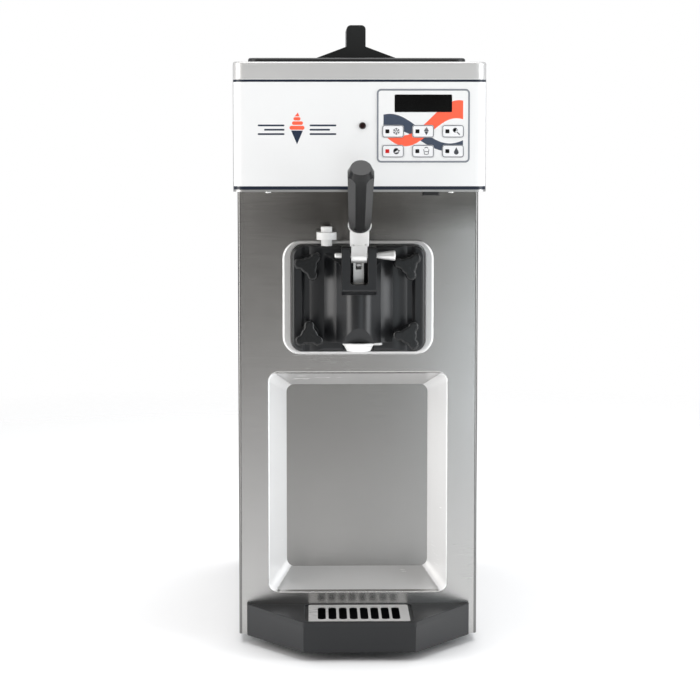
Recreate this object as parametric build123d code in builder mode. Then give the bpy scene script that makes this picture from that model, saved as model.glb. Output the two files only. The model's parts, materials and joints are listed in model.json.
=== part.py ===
"""Slim one-flavour countertop soft-serve machine, millimetres, +Z up.

Origin: centre of the footprint on the counter. -Y is the front (the dispensing
side) and +X is the right-hand side seen from the front.
"""
from build123d import *
from math import cos, radians, sin, sqrt
import os

os.makedirs("parts", exist_ok=True)

# ---------------------------------------------------------------- driving dimensions
BODY_WIDTH = 320.0
BODY_DEPTH = 560.0
SHEET = 1.5
PANEL_BOTTOM = 12.0
PANEL_TOP = 754.9
PAN_BOTTOM = 14.0
COVER_BOTTOM = 755.0
COVER_TOP = 776.8
HOOD_WIDTH = 324.0
HOOD_REACH = 110.0
HOOD_BOTTOM = 611.5
HOOD_CORNER = 15.0
HANDLE_REACH = 188.9
GLAND_REACH = 18.0
OVERALL_DEPTH = HANDLE_REACH + BODY_DEPTH + GLAND_REACH
FRONT_Y = HANDLE_REACH - OVERALL_DEPTH / 2

HALF = BODY_WIDTH / 2
INNER_HALF = HALF - SHEET
HOOD_HALF = HOOD_WIDTH / 2
RUNNING = 0.05
GAP = 0.3

# freezing cylinder and door
BORE_Z = 467.4
BORE_RADIUS = 47.5
DOOR_WIDTH = 176.6
DOOR_HEIGHT = 140.0
DOOR_FRONT = 28.0
VALVE_AHEAD = 34.0
VALVE_BORE = 13.0
KNOB_X = 64.9
KNOB_DROP = 45.9
PIVOT_AHEAD = 63.0
PIVOT_Z = 527.1
PIN_RADIUS = 3.5
STUD_RADIUS = 4.0

# drive train
PULLEY_BACK = 352.0
PULLEY_WIDTH = 26.0
BIG_PULLEY = 60.0
SMALL_PULLEY = 32.0
MOTOR_X = 70.0
MOTOR_Z = 265.0


# ---------------------------------------------------------------- helpers
def ahead(distance):
    """Y of a point this far in front of the front panel's outer face."""
    return FRONT_Y - distance


def behind(distance):
    """Y of a point this far behind the front panel's outer face."""
    return FRONT_Y + distance


def upright(y):
    """Vertical plane at this Y that faces the front: X across, Z up."""
    return Plane.XZ.offset(-y)


def span(low, high, mode=Mode.ADD):
    """Box between two opposite corners."""
    size = [top - bottom for bottom, top in zip(low, high)]
    with Locations(tuple(low)):
        Box(*size, align=(Align.MIN, Align.MIN, Align.MIN), mode=mode)


def rod_x(y, z, radius, left, right, mode=Mode.ADD):
    """Cylinder along X."""
    with BuildSketch(Plane.YZ.offset(left)) as profile:
        with Locations((y, z)):
            Circle(radius)
    extrude(profile.sketch, amount=right - left, mode=mode)


def rod_y(x, z, radius, rear, front, mode=Mode.ADD):
    """Cylinder along Y from the rear Y to the front Y."""
    with BuildSketch(upright(rear)) as profile:
        with Locations((x, z)):
            Circle(radius)
    extrude(profile.sketch, amount=rear - front, mode=mode)


def rod_z(x, y, radius, bottom, top, mode=Mode.ADD):
    """Cylinder along Z."""
    with BuildSketch(Plane.XY.offset(bottom)) as profile:
        with Locations((x, y)):
            Circle(radius)
    extrude(profile.sketch, amount=top - bottom, mode=mode)


def slab_y(x, z, width, height, corner, rear, front, mode=Mode.ADD):
    """Rounded rectangle facing the front, from the rear Y to the front Y."""
    with BuildSketch(upright(rear)) as profile:
        with Locations((x, z)):
            RectangleRounded(width, height, corner)
    extrude(profile.sketch, amount=rear - front, mode=mode)


def slab_z(x, y, width, depth, corner, bottom, top, mode=Mode.ADD):
    """Rounded rectangle in plan, from bottom to top."""
    with BuildSketch(Plane.XY.offset(bottom)) as profile:
        with Locations((x, y)):
            RectangleRounded(width, depth, corner)
    extrude(profile.sketch, amount=top - bottom, mode=mode)


def turned_y(x, z, outline):
    """Piece turned about an axis along Y: outline is a list of (radius, Y) points."""
    with BuildSketch(Plane.XY.offset(z)) as profile:
        with BuildLine():
            Polyline(*[(x + radius, y) for radius, y in outline], close=True)
        make_face()
    revolve(profile.sketch, axis=Axis((x, 0, z), (0, 1, 0)))


def turned_z(x, y, outline):
    """Piece turned about a vertical axis: outline is a list of (radius, Z) points."""
    with BuildSketch(upright(y)) as profile:
        with BuildLine():
            Polyline(*[(x + radius, z) for radius, z in outline], close=True)
        make_face()
    revolve(profile.sketch, axis=Axis((x, y, 0), (0, 0, 1)))


def save(part, name):
    """Label one finished piece and write it."""
    part.label = name
    export_step(part, f"parts/{name}.step")


# ---------------------------------------------------------------- base pan and feet
PAN_SHEET = 3.0
PAN_TOP = 33.0
PAN_FRONT = behind(SHEET)
PAN_REAR = behind(BODY_DEPTH - SHEET)
PAN_MIDDLE = (PAN_FRONT + PAN_REAR) / 2
FLOOR_TOP = PAN_BOTTOM + PAN_SHEET
FOOT_X = 112.0
FOOT_YS = (behind(50.0), behind(BODY_DEPTH - 50.0))

with BuildPart() as base_pan:
    span((-INNER_HALF, PAN_FRONT, PAN_BOTTOM), (INNER_HALF, PAN_REAR, PAN_TOP))
    span(
        (-INNER_HALF + PAN_SHEET, PAN_FRONT + PAN_SHEET, FLOOR_TOP),
        (INNER_HALF - PAN_SHEET, PAN_REAR - PAN_SHEET, PAN_TOP),
        mode=Mode.SUBTRACT,
    )
    with BuildSketch(Plane.XY.offset(PAN_BOTTOM)):
        with Locations((0, PAN_MIDDLE + 30)):
            with GridLocations(60, 26, 3, 3):
                SlotOverall(44, 7)
    extrude(amount=PAN_SHEET, mode=Mode.SUBTRACT)
save(base_pan.part, "base_pan")

# four turned rubber feet, each with a counterbore for its screw
with BuildPart() as feet:
    for foot_x in (-FOOT_X, FOOT_X):
        for foot_y in FOOT_YS:
            turned_z(foot_x, foot_y, [
                (4.0, PAN_BOTTOM), (19.0, PAN_BOTTOM), (17.5, 1.5), (16.0, 0.0),
                (8.0, 0.0), (8.0, 6.0), (4.0, 6.0),
            ])
save(feet.part, "feet")

# ---------------------------------------------------------------- frame of angle section
LEG = 22.0
ANGLE = 3.0
POST_X = INNER_HALF - PAN_SHEET
POST_FRONT = PAN_FRONT + PAN_SHEET
POST_REAR = PAN_REAR - PAN_SHEET
RAIL_TOP = COVER_TOP - SHEET
RAIL_FRONT = POST_FRONT + LEG
RAIL_REAR = POST_REAR - LEG
DECK_TOP = 362.0
DECK_SHEET = 3.0
DECK_FRONT = behind(70.0)
DECK_REAR = behind(348.0)


def ordered(a, b):
    """The two values, lowest first."""
    return min(a, b), max(a, b)


def post(x_side, y_side):
    """L-section upright in one corner of the base pan."""
    corner_y = POST_FRONT if y_side < 0 else POST_REAR
    x_leg = ordered(x_side * POST_X, x_side * (POST_X - LEG))
    x_web = ordered(x_side * POST_X, x_side * (POST_X - ANGLE))
    y_leg = ordered(corner_y, corner_y - y_side * LEG)
    y_web = ordered(corner_y, corner_y - y_side * ANGLE)
    span((x_leg[0], y_web[0], FLOOR_TOP), (x_leg[1], y_web[1], RAIL_TOP))
    span((x_web[0], y_leg[0], FLOOR_TOP), (x_web[1], y_leg[1], RAIL_TOP))


def rail(x_side, top):
    """L-section side rail between the posts, flange uppermost."""
    x_leg = ordered(x_side * POST_X, x_side * (POST_X - LEG))
    x_web = ordered(x_side * POST_X, x_side * (POST_X - ANGLE))
    span((x_web[0], RAIL_FRONT, top - LEG), (x_web[1], RAIL_REAR, top))
    span((x_leg[0], RAIL_FRONT, top - ANGLE), (x_leg[1], RAIL_REAR, top))


with BuildPart() as frame:
    for side in (-1, 1):
        post(side, -1)
        post(side, 1)
        rail(side, RAIL_TOP)
        rail(side, DECK_TOP - DECK_SHEET)
save(frame.part, "frame")

# deck that carries the cylinder and the gearbox, with a turned-down rear edge
with BuildPart() as deck:
    span((-POST_X, DECK_FRONT, DECK_TOP - DECK_SHEET), (POST_X, DECK_REAR, DECK_TOP))
    span((-110, DECK_REAR - DECK_SHEET, DECK_TOP - 20), (110, DECK_REAR, DECK_TOP))
save(deck.part, "deck")

# ---------------------------------------------------------------- front panel
RETURN = 14.0
FRONT_TOP = HOOD_BOTTOM - GAP
BAY_Z = 217.65
BAY_MOUTH = (237.8, 298.1)
BAY_FLOOR = (192.7, 251.7)
BAY_DEPTH = 62.0
RIM_OUTER = (201.0, 152.0)
RIM_INNER = (178.6, 142.0)
RIM_REACH = 8.0
TAB_X = 90.0
TAB_Z = 38.0
TAB_WIDTH = 24.0
TAB_HEIGHT = 2.5


def bay_body(grow, mouth_corner, floor_corner, depth):
    """Tapered pocket body from the panel's face back to the pocket's floor."""
    with BuildSketch(upright(FRONT_Y)) as mouth:
        with Locations((0, BAY_Z)):
            RectangleRounded(BAY_MOUTH[0] + grow, BAY_MOUTH[1] + grow, mouth_corner)
    with BuildSketch(upright(FRONT_Y + depth)) as floor:
        with Locations((0, BAY_Z)):
            RectangleRounded(BAY_FLOOR[0] + grow, BAY_FLOOR[1] + grow, floor_corner)
    return Solid.make_loft([mouth.sketch.faces()[0].outer_wire(), floor.sketch.faces()[0].outer_wire()])


with BuildPart() as front_panel:
    span((-HALF, FRONT_Y, PANEL_BOTTOM), (HALF, FRONT_Y + RETURN, FRONT_TOP))
    fillet(front_panel.edges().filter_by(Axis.Z).group_by(Axis.Y)[0], 4.0)
    span(
        (-INNER_HALF, FRONT_Y + SHEET, PANEL_BOTTOM),
        (INNER_HALF, FRONT_Y + RETURN, FRONT_TOP),
        mode=Mode.SUBTRACT,
    )
    # serving bay: a drafted pocket pressed into the sheet
    add(bay_body(2 * SHEET, 14.0, 12.0, BAY_DEPTH + SHEET))
    add(bay_body(0.0, 12.5, 10.5, BAY_DEPTH), mode=Mode.SUBTRACT)
    bay_lip = front_panel.faces().sort_by(Axis.Y)[0].inner_wires()[0].edges()
    fillet(bay_lip, 2.5)
    # raised bead around the door opening
    slab_y(0, BORE_Z, *RIM_OUTER, 24.0, FRONT_Y + SHEET, ahead(RIM_REACH))
    bead_edges = front_panel.faces().sort_by(Axis.Y)[0].outer_wire().edges()
    fillet(bead_edges, 3.6)
    slab_y(0, BORE_Z, *RIM_INNER, 15.0, FRONT_Y + SHEET, ahead(RIM_REACH), mode=Mode.SUBTRACT)
    lip_edges = front_panel.faces().sort_by(Axis.Y)[0].inner_wires()[0].edges()
    fillet(lip_edges, 1.2)
    # slots that the drip tray's tabs hook into
    for side in (-1, 1):
        slab_y(side * TAB_X, TAB_Z, TAB_WIDTH, TAB_HEIGHT + 2 * GAP, 1.0,
               FRONT_Y + SHEET, FRONT_Y, mode=Mode.SUBTRACT)
save(front_panel.part, "front_panel")

# ---------------------------------------------------------------- side and rear panels
SIDE_FRONT = FRONT_Y + RETURN + GAP
SIDE_REAR = behind(BODY_DEPTH)
LOUVRE_Y = behind(440.0)


def side_panel(x_side):
    """Flat side sheet with two banks of louvre slots low down towards the rear."""
    inner, outer = ordered(x_side * INNER_HALF, x_side * HALF)
    with BuildPart() as panel:
        span((inner, SIDE_FRONT, PANEL_BOTTOM), (outer, SIDE_REAR, PANEL_TOP))
        with BuildSketch(Plane.YZ.offset(inner)):
            with Locations((LOUVRE_Y, 190)):
                with GridLocations(86, 18, 2, 12):
                    SlotOverall(70, 6)
        extrude(amount=SHEET, mode=Mode.SUBTRACT)
    return panel.part


save(side_panel(-1), "side_panel_left")
save(side_panel(1), "side_panel_right")

GLAND_X = 100.0
GLAND_Z = 400.0
REAR_INNER = behind(BODY_DEPTH - SHEET)
REAR_OUTER = behind(BODY_DEPTH)

with BuildPart() as rear_panel:
    span((-INNER_HALF, REAR_INNER, PANEL_BOTTOM), (INNER_HALF, REAR_OUTER, PANEL_TOP))
    with BuildSketch(upright(REAR_OUTER)):
        with Locations((0, 190)):
            with GridLocations(84, 16, 3, 15):
                SlotOverall(72, 7)
        with Locations((0, 640)):
            with GridLocations(84, 16, 2, 5):
                SlotOverall(72, 7)
        with Locations((GLAND_X, GLAND_Z)):
            Circle(12.0)
    extrude(amount=SHEET, mode=Mode.SUBTRACT)
save(rear_panel.part, "rear_panel")

# cord gland: threaded barrel through the rear panel, hexagon body outside, nut inside
CORD_HOLE = 5.2
with BuildPart() as cord_gland:
    rod_y(GLAND_X, GLAND_Z, 12.0 - RUNNING, REAR_OUTER, behind(BODY_DEPTH - 14.0))
    with BuildSketch(upright(REAR_OUTER + 8.0)):
        with Locations((GLAND_X, GLAND_Z)):
            RegularPolygon(14.0, 6, major_radius=False)
    extrude(amount=8.0)
    with BuildSketch(upright(REAR_INNER)):
        with Locations((GLAND_X, GLAND_Z)):
            RegularPolygon(14.0, 6, major_radius=False)
    extrude(amount=5.0)
    turned_y(GLAND_X, GLAND_Z, [
        (0, REAR_OUTER + 8), (12.5, REAR_OUTER + 8), (12.5, REAR_OUTER + 12),
        (8.5, REAR_OUTER + GLAND_REACH), (0, REAR_OUTER + GLAND_REACH),
    ])
    rod_y(GLAND_X, GLAND_Z, CORD_HOLE, REAR_OUTER + GLAND_REACH, behind(BODY_DEPTH - 14.0),
          mode=Mode.SUBTRACT)
save(cord_gland.part, "cord_gland")

# ---------------------------------------------------------------- top cover, hopper and lid
COVER_FRONT = ahead(HOOD_REACH)
COVER_REAR = behind(BODY_DEPTH)
COVER_DEPTH = COVER_REAR - COVER_FRONT
COVER_MIDDLE = (COVER_FRONT + COVER_REAR) / 2
HOPPER_SIZE = (226.0, 276.0)
HOPPER_Y = behind(245.0)
HOPPER_FLOOR = 630.0
HOPPER_RIM = (250.0, 300.0)
HOPPER_RIM_TOP = COVER_TOP + 3.2
HOPPER_CORNER = 30.0
INLET_Y = behind(180.0)
INLET_RADIUS = 12.5
LID_SIZE = (296.0, 330.0)
LID_BOTTOM = HOPPER_RIM_TOP + GAP
LID_TOP = 786.7
LID_HANDLE_TOP = 833.0
LID_HANDLE_WAIST = 803.6
LID_HANDLE_HALF = 13.2
LID_HANDLE_FOOT = 56.0
LID_HANDLE_LENGTH = 100.0

with BuildPart() as top_cover:
    slab_z(0, COVER_MIDDLE, HOOD_WIDTH, COVER_DEPTH, HOOD_CORNER, COVER_BOTTOM, COVER_TOP)
    fillet(top_cover.faces().sort_by(Axis.Z)[-1].edges(), 3.0)
    slab_z(0, COVER_MIDDLE, HOOD_WIDTH - 2 * SHEET, COVER_DEPTH - 2 * SHEET,
           HOOD_CORNER - SHEET, COVER_BOTTOM, COVER_TOP - SHEET, mode=Mode.SUBTRACT)
    slab_z(0, HOPPER_Y, HOPPER_SIZE[0] + 2 * SHEET, HOPPER_SIZE[1] + 2 * SHEET,
           HOPPER_CORNER + SHEET, COVER_TOP - SHEET, COVER_TOP, mode=Mode.SUBTRACT)
save(top_cover.part, "top_cover")

# pressed stainless mix tank with a rolled rim and an outlet over the cylinder's inlet
with BuildPart() as hopper:
    slab_z(0, HOPPER_Y, *HOPPER_RIM, HOPPER_CORNER + 8, COVER_TOP, HOPPER_RIM_TOP)
    fillet(hopper.faces().sort_by(Axis.Z)[-1].edges(), 1.5)
    slab_z(0, HOPPER_Y, HOPPER_SIZE[0] + 2 * SHEET - 0.2, HOPPER_SIZE[1] + 2 * SHEET - 0.2,
           HOPPER_CORNER + SHEET, HOPPER_FLOOR - SHEET, COVER_TOP + 1)
    fillet(hopper.faces().sort_by(Axis.Z)[0].edges(), 16.0)
    slab_z(0, HOPPER_Y, *HOPPER_SIZE, HOPPER_CORNER, HOPPER_FLOOR + 20, HOPPER_RIM_TOP,
           mode=Mode.SUBTRACT)
    with BuildPart(mode=Mode.PRIVATE) as well_foot:
        slab_z(0, HOPPER_Y, *HOPPER_SIZE, HOPPER_CORNER, HOPPER_FLOOR, HOPPER_FLOOR + 20)
        fillet(well_foot.faces().sort_by(Axis.Z)[0].edges(), 14.5)
    add(well_foot.part, mode=Mode.SUBTRACT)
    rod_z(0, INLET_Y, INLET_RADIUS, HOPPER_FLOOR - SHEET, HOPPER_FLOOR, mode=Mode.SUBTRACT)
save(hopper.part, "hopper")

# moulded lid: plate, locating lip inside the tank's mouth and an upright grab handle
with BuildPart() as hopper_lid:
    slab_z(0, HOPPER_Y, *LID_SIZE, 14.0, LID_BOTTOM, LID_TOP)
    fillet(hopper_lid.faces().sort_by(Axis.Z)[-1].edges(), 3.0)
    slab_z(0, HOPPER_Y, HOPPER_SIZE[0] - 4, HOPPER_SIZE[1] - 4, HOPPER_CORNER - 2,
           LID_BOTTOM - 9, LID_BOTTOM)
    slab_z(0, HOPPER_Y, HOPPER_SIZE[0] - 9, HOPPER_SIZE[1] - 9, HOPPER_CORNER - 4.5,
           LID_BOTTOM - 9, LID_BOTTOM, mode=Mode.SUBTRACT)
    handle_rear = HOPPER_Y - 60 + LID_HANDLE_LENGTH / 2
    with BuildSketch(upright(handle_rear)) as grab:
        with BuildLine():
            Polyline(
                (-LID_HANDLE_FOOT, LID_TOP - 1), (-LID_HANDLE_FOOT, LID_TOP + 1),
                (-LID_HANDLE_HALF, LID_HANDLE_WAIST), (-LID_HANDLE_HALF, LID_HANDLE_TOP),
                (LID_HANDLE_HALF, LID_HANDLE_TOP), (LID_HANDLE_HALF, LID_HANDLE_WAIST),
                (LID_HANDLE_FOOT, LID_TOP + 1), (LID_HANDLE_FOOT, LID_TOP - 1), close=True)
        make_face()
        fillet(grab.vertices().group_by(Axis.Y)[-1], 6.0)
    extrude(amount=LID_HANDLE_LENGTH)
save(hopper_lid.part, "hopper_lid")

# air and mix metering tube standing in the tank's outlet
TUBE_RADIUS = INLET_RADIUS - RUNNING
with BuildPart() as feed_tube:
    turned_z(0, INLET_Y, [
        (4.0, HOPPER_FLOOR - 28), (TUBE_RADIUS, HOPPER_FLOOR - 28), (TUBE_RADIUS, HOPPER_FLOOR + GAP),
        (17.0, HOPPER_FLOOR + GAP), (17.0, HOPPER_FLOOR + 6), (8.0, HOPPER_FLOOR + 10),
        (8.0, HOPPER_FLOOR + 118), (4.0, HOPPER_FLOOR + 118),
    ])
    rod_x(INLET_Y, HOPPER_FLOOR + 14, 2.5, -9, 0, mode=Mode.SUBTRACT)
    span((-2, INLET_Y + 7, HOPPER_FLOOR + 98), (2, INLET_Y + 22, HOPPER_FLOOR + 112))
save(feed_tube.part, "feed_tube")

# ---------------------------------------------------------------- hood
HOOD_BACK = behind(60.0)
FASCIA = 0.6
FACE_Y = ahead(HOOD_REACH)
SHELL_Y = FACE_Y + FASCIA
KEYPAD_X = 80.8
KEYPAD_Z = 695.5
KEYPAD_SIZE = (119.5, 94.4)
KEYPAD_FACE = 0.9
KEYPAD_WINDOW = (114.0, 89.0)
WINDOW_SIZE = (73.2, 22.3)
WINDOW_Z = 724.0
LAMP_X = 3.4
LAMP_Z = 695.6
LAMP_RADIUS = 4.5
SWITCH_X = 92.0
SWITCH_Y = ahead(82.0)
SWITCH_SIZE = (22.0, 17.0)
BEZEL_BOTTOM = HOOD_BOTTOM - 5.2
LIP_Z = HOOD_BOTTOM + 2.8
OVERLAY_HALF = HOOD_HALF - 0.9

with BuildPart() as hood_shell:
    hood_middle = (SHELL_Y + HOOD_BACK) / 2
    hood_run = HOOD_BACK - SHELL_Y
    slab_z(0, hood_middle, HOOD_WIDTH, hood_run, HOOD_CORNER - FASCIA, HOOD_BOTTOM, PANEL_TOP)
    span((-HOOD_HALF, HOOD_BACK - 20, HOOD_BOTTOM), (HOOD_HALF, HOOD_BACK, PANEL_TOP))
    slab_z(0, hood_middle, HOOD_WIDTH - 2 * SHEET, hood_run - 2 * SHEET, HOOD_CORNER - FASCIA - SHEET,
           HOOD_BOTTOM + SHEET, PANEL_TOP, mode=Mode.SUBTRACT)
    # open back: the arms lap over the side panels and the floor stops at the front panel
    span((-HALF - GAP, FRONT_Y - GAP, HOOD_BOTTOM), (HALF + GAP, HOOD_BACK, PANEL_TOP),
         mode=Mode.SUBTRACT)
    slab_y(KEYPAD_X, KEYPAD_Z, *KEYPAD_WINDOW, 5.0, SHELL_Y + 4, SHELL_Y, mode=Mode.SUBTRACT)
    rod_y(LAMP_X, LAMP_Z, LAMP_RADIUS - 1, SHELL_Y + 4, SHELL_Y, mode=Mode.SUBTRACT)
    slab_z(SWITCH_X, SWITCH_Y, 19.0, 13.0, 1.0, HOOD_BOTTOM, HOOD_BOTTOM + SHEET, mode=Mode.SUBTRACT)
save(hood_shell.part, "hood_shell")

# printed overlay that covers the hood's front and wraps round its two front corners
with BuildPart() as hood_fascia:
    overlay_run = HOOD_CORNER + 1
    span((-HOOD_HALF, FACE_Y, LIP_Z), (HOOD_HALF, FACE_Y + overlay_run, PANEL_TOP))
    fillet(hood_fascia.edges().filter_by(Axis.Z).group_by(Axis.Y)[0], HOOD_CORNER)
    with BuildPart(mode=Mode.PRIVATE) as inside:
        span((-HOOD_HALF, SHELL_Y, LIP_Z), (HOOD_HALF, FACE_Y + overlay_run, PANEL_TOP))
        fillet(inside.edges().filter_by(Axis.Z).group_by(Axis.Y)[0], HOOD_CORNER - FASCIA)
    add(inside.part, mode=Mode.SUBTRACT)
    for side in (-1, 1):
        low, high = ordered(side * OVERLAY_HALF, side * HOOD_HALF)
        span((low, FACE_Y, LIP_Z), (high, FACE_Y + overlay_run, PANEL_TOP), mode=Mode.SUBTRACT)
    slab_y(KEYPAD_X, KEYPAD_Z, *KEYPAD_SIZE, 6.0, SHELL_Y, FACE_Y, mode=Mode.SUBTRACT)
    rod_y(LAMP_X, LAMP_Z, LAMP_RADIUS - 1, SHELL_Y, FACE_Y, mode=Mode.SUBTRACT)
save(hood_fascia.part, "hood_fascia")

# ---------------------------------------------------------------- keypad and buttons
BUTTON_SIZE = (27.5, 15.7)
BUTTON_XS = (42.2, 80.5, 118.7)
BUTTON_ZS = (688.5, 663.3)
BUTTON_NAMES = (
    ("cool_button", "serve_button", "stir_button"),
    ("reset_button", "portion_button", "clean_button"),
)
BUTTON_PROUD = 0.8
BUTTON_FLANGE = 1.4

with BuildPart() as keypad:
    slab_y(KEYPAD_X, KEYPAD_Z, *KEYPAD_SIZE, 6.0, SHELL_Y, FACE_Y - KEYPAD_FACE)
    fillet(keypad.faces().sort_by(Axis.Y)[0].edges(), 0.5)
    slab_y(KEYPAD_X, WINDOW_Z, *WINDOW_SIZE, 1.5, SHELL_Y, FACE_Y - KEYPAD_FACE, mode=Mode.SUBTRACT)
    for row_z in BUTTON_ZS:
        for button_x in BUTTON_XS:
            slab_y(button_x, row_z, BUTTON_SIZE[0] + 2 * GAP, BUTTON_SIZE[1] + 2 * GAP, 3.3,
                   SHELL_Y, FACE_Y - KEYPAD_FACE, mode=Mode.SUBTRACT)
save(keypad.part, "keypad")

for row_z, row_names in zip(BUTTON_ZS, BUTTON_NAMES):
    for button_x, button_name in zip(BUTTON_XS, row_names):
        with BuildPart() as button:
            cap_front = FACE_Y - KEYPAD_FACE - BUTTON_PROUD
            slab_y(button_x, row_z, *BUTTON_SIZE, 3.0, SHELL_Y + GAP + BUTTON_FLANGE, cap_front)
            fillet(button.faces().sort_by(Axis.Y)[0].edges(), 0.5)
            slab_y(button_x, row_z, BUTTON_SIZE[0] + 3, BUTTON_SIZE[1] + 3, 3.0,
                   SHELL_Y + GAP + BUTTON_FLANGE, SHELL_Y + GAP)
        save(button.part, button_name)

with BuildPart() as display_window:
    slab_y(KEYPAD_X, WINDOW_Z, *WINDOW_SIZE, 1.5, SHELL_Y + 1, FACE_Y - KEYPAD_FACE - 0.2)
save(display_window.part, "display_window")

with BuildPart() as mix_low_lamp:
    rod_y(LAMP_X, LAMP_Z, LAMP_RADIUS, FACE_Y, FACE_Y - 2.2)
    fillet(mix_low_lamp.faces().sort_by(Axis.Y)[0].edges(), 1.8)
    rod_y(LAMP_X, LAMP_Z, LAMP_RADIUS - 1, SHELL_Y + 12, FACE_Y)
save(mix_low_lamp.part, "mix_low_lamp")

# circuit board behind the keypad, with its key switches, display module and connectors
BOARD_Y = SHELL_Y + 9.0
with BuildPart() as control_board:
    slab_y(KEYPAD_X, KEYPAD_Z, 126, 84, 3.0, BOARD_Y + 1.6, BOARD_Y)
    for row_z in BUTTON_ZS:
        for button_x in BUTTON_XS:
            slab_y(button_x, row_z, 6, 6, 0.6, BOARD_Y, BOARD_Y - 4.2)
            rod_y(button_x, row_z, 1.7, BOARD_Y - 4.2, BOARD_Y - 6.5)
    span((KEYPAD_X - 34, SHELL_Y + 1.4, WINDOW_Z - 9), (KEYPAD_X + 34, BOARD_Y, WINDOW_Z + 9))
    span((KEYPAD_X - 45, BOARD_Y + 1.6, 660), (KEYPAD_X - 15, BOARD_Y + 20, 690))
    span((KEYPAD_X + 5, BOARD_Y + 1.6, 655), (KEYPAD_X + 40, BOARD_Y + 12, 667))
    with BuildSketch(upright(BOARD_Y)):
        with Locations((KEYPAD_X, KEYPAD_Z)):
            with GridLocations(120, 76, 2, 2):
                Circle(2.4)
    extrude(amount=BOARD_Y - SHELL_Y - SHEET)
save(control_board.part, "control_board")

# power switch under the hood: bezel and body, with a rocker on a cross pivot
ROCKER_Z = HOOD_BOTTOM - 1.0
ROCKER_AXIS_Z = ROCKER_Z + 3.0
ROCKER_PIN = 1.2
with BuildPart() as power_switch_housing:
    slab_z(SWITCH_X, SWITCH_Y, *SWITCH_SIZE, 2.0, BEZEL_BOTTOM, HOOD_BOTTOM)
    slab_z(SWITCH_X, SWITCH_Y, 18.8, 12.8, 1.0, HOOD_BOTTOM, HOOD_BOTTOM + 22.0)
    slab_z(SWITCH_X, SWITCH_Y, 17.0, 11.0, 0.8, BEZEL_BOTTOM, HOOD_BOTTOM + 10.0,
           mode=Mode.SUBTRACT)
    rod_y(SWITCH_X, ROCKER_AXIS_Z, ROCKER_PIN, SWITCH_Y + 6.0, SWITCH_Y - 6.0)
save(power_switch_housing.part, "power_switch_housing")

with BuildPart() as power_rocker:
    with BuildSketch(Plane.XZ.offset(-(SWITCH_Y + 5.0))):
        with BuildLine():
            Polyline(
                (SWITCH_X - 6.6, ROCKER_Z - 3.2), (SWITCH_X, ROCKER_Z - 2.0),
                (SWITCH_X + 6.6, ROCKER_Z - 0.4), (SWITCH_X + 6.4, ROCKER_Z + 4.0),
                (SWITCH_X, ROCKER_Z + 6.5), (SWITCH_X - 6.4, ROCKER_Z + 4.0), close=True)
        make_face()
    extrude(amount=10.0)
    rod_y(SWITCH_X, ROCKER_AXIS_Z, ROCKER_PIN + RUNNING, SWITCH_Y + 6.0, SWITCH_Y - 6.0, mode=Mode.SUBTRACT)
save(power_rocker.part, "power_rocker")

# ---------------------------------------------------------------- freezing cylinder
FLANGE_FRONT = FRONT_Y + SHEET
FLANGE_SIZE = (196.0, 148.0)
FLANGE_BACK = behind(13.5)
TUBE_WALL = 2.5
TUBE_BACK = behind(245.0)
END_BACK = behind(253.0)
SHAFT_RADIUS = 12.0
SEAL_RADIUS = 20.0
STUD_REACH = 48.0
KNOB_CENTRES = [(x, BORE_Z + drop) for x in (-KNOB_X, KNOB_X) for drop in (KNOB_DROP, -KNOB_DROP)]

with BuildPart() as freezing_cylinder:
    slab_y(0, BORE_Z, *FLANGE_SIZE, 18.0, FLANGE_BACK, FLANGE_FRONT)
    rod_y(0, BORE_Z, BORE_RADIUS + TUBE_WALL, END_BACK, FLANGE_BACK)
    rod_z(0, INLET_Y, INLET_RADIUS + 2.0, BORE_Z + BORE_RADIUS - 4, HOPPER_FLOOR - SHEET)
    rod_y(0, BORE_Z, BORE_RADIUS, TUBE_BACK, FLANGE_FRONT, mode=Mode.SUBTRACT)
    rod_z(0, INLET_Y, INLET_RADIUS, BORE_Z, HOPPER_FLOOR - SHEET, mode=Mode.SUBTRACT)
    rod_y(0, BORE_Z, SEAL_RADIUS, END_BACK, TUBE_BACK, mode=Mode.SUBTRACT)
    for stud_x, stud_z in KNOB_CENTRES:
        rod_y(stud_x, stud_z, STUD_RADIUS, FLANGE_FRONT, ahead(STUD_REACH))
save(freezing_cylinder.part, "freezing_cylinder")

FOAM_RADIUS = 80.0
with BuildPart() as cylinder_insulation:
    rod_y(0, BORE_Z, FOAM_RADIUS, TUBE_BACK, behind(16.0))
    rod_y(0, BORE_Z, BORE_RADIUS + TUBE_WALL, TUBE_BACK, behind(16.0), mode=Mode.SUBTRACT)
    rod_z(0, INLET_Y, INLET_RADIUS + 2.0, BORE_Z, BORE_Z + FOAM_RADIUS + 1, mode=Mode.SUBTRACT)
save(cylinder_insulation.part, "cylinder_insulation")

with BuildPart() as shaft_seal:
    rod_y(0, BORE_Z, SEAL_RADIUS, END_BACK, TUBE_BACK)
    rod_y(0, BORE_Z, SHAFT_RADIUS + RUNNING, END_BACK, TUBE_BACK, mode=Mode.SUBTRACT)
save(shaft_seal.part, "shaft_seal")

# ---------------------------------------------------------------- beater and its shaft
BEATER_RADIUS = 46.0
BEATER_BACK = behind(240.0)
BEATER_FRONT = behind(24.0)
DISC = 8.0
FLIGHT_RADIUS = 41.0
FLIGHT_THICKNESS = 5.0
BLADE_HALF = 3.5
JOURNAL_RADIUS = 12.0

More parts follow.
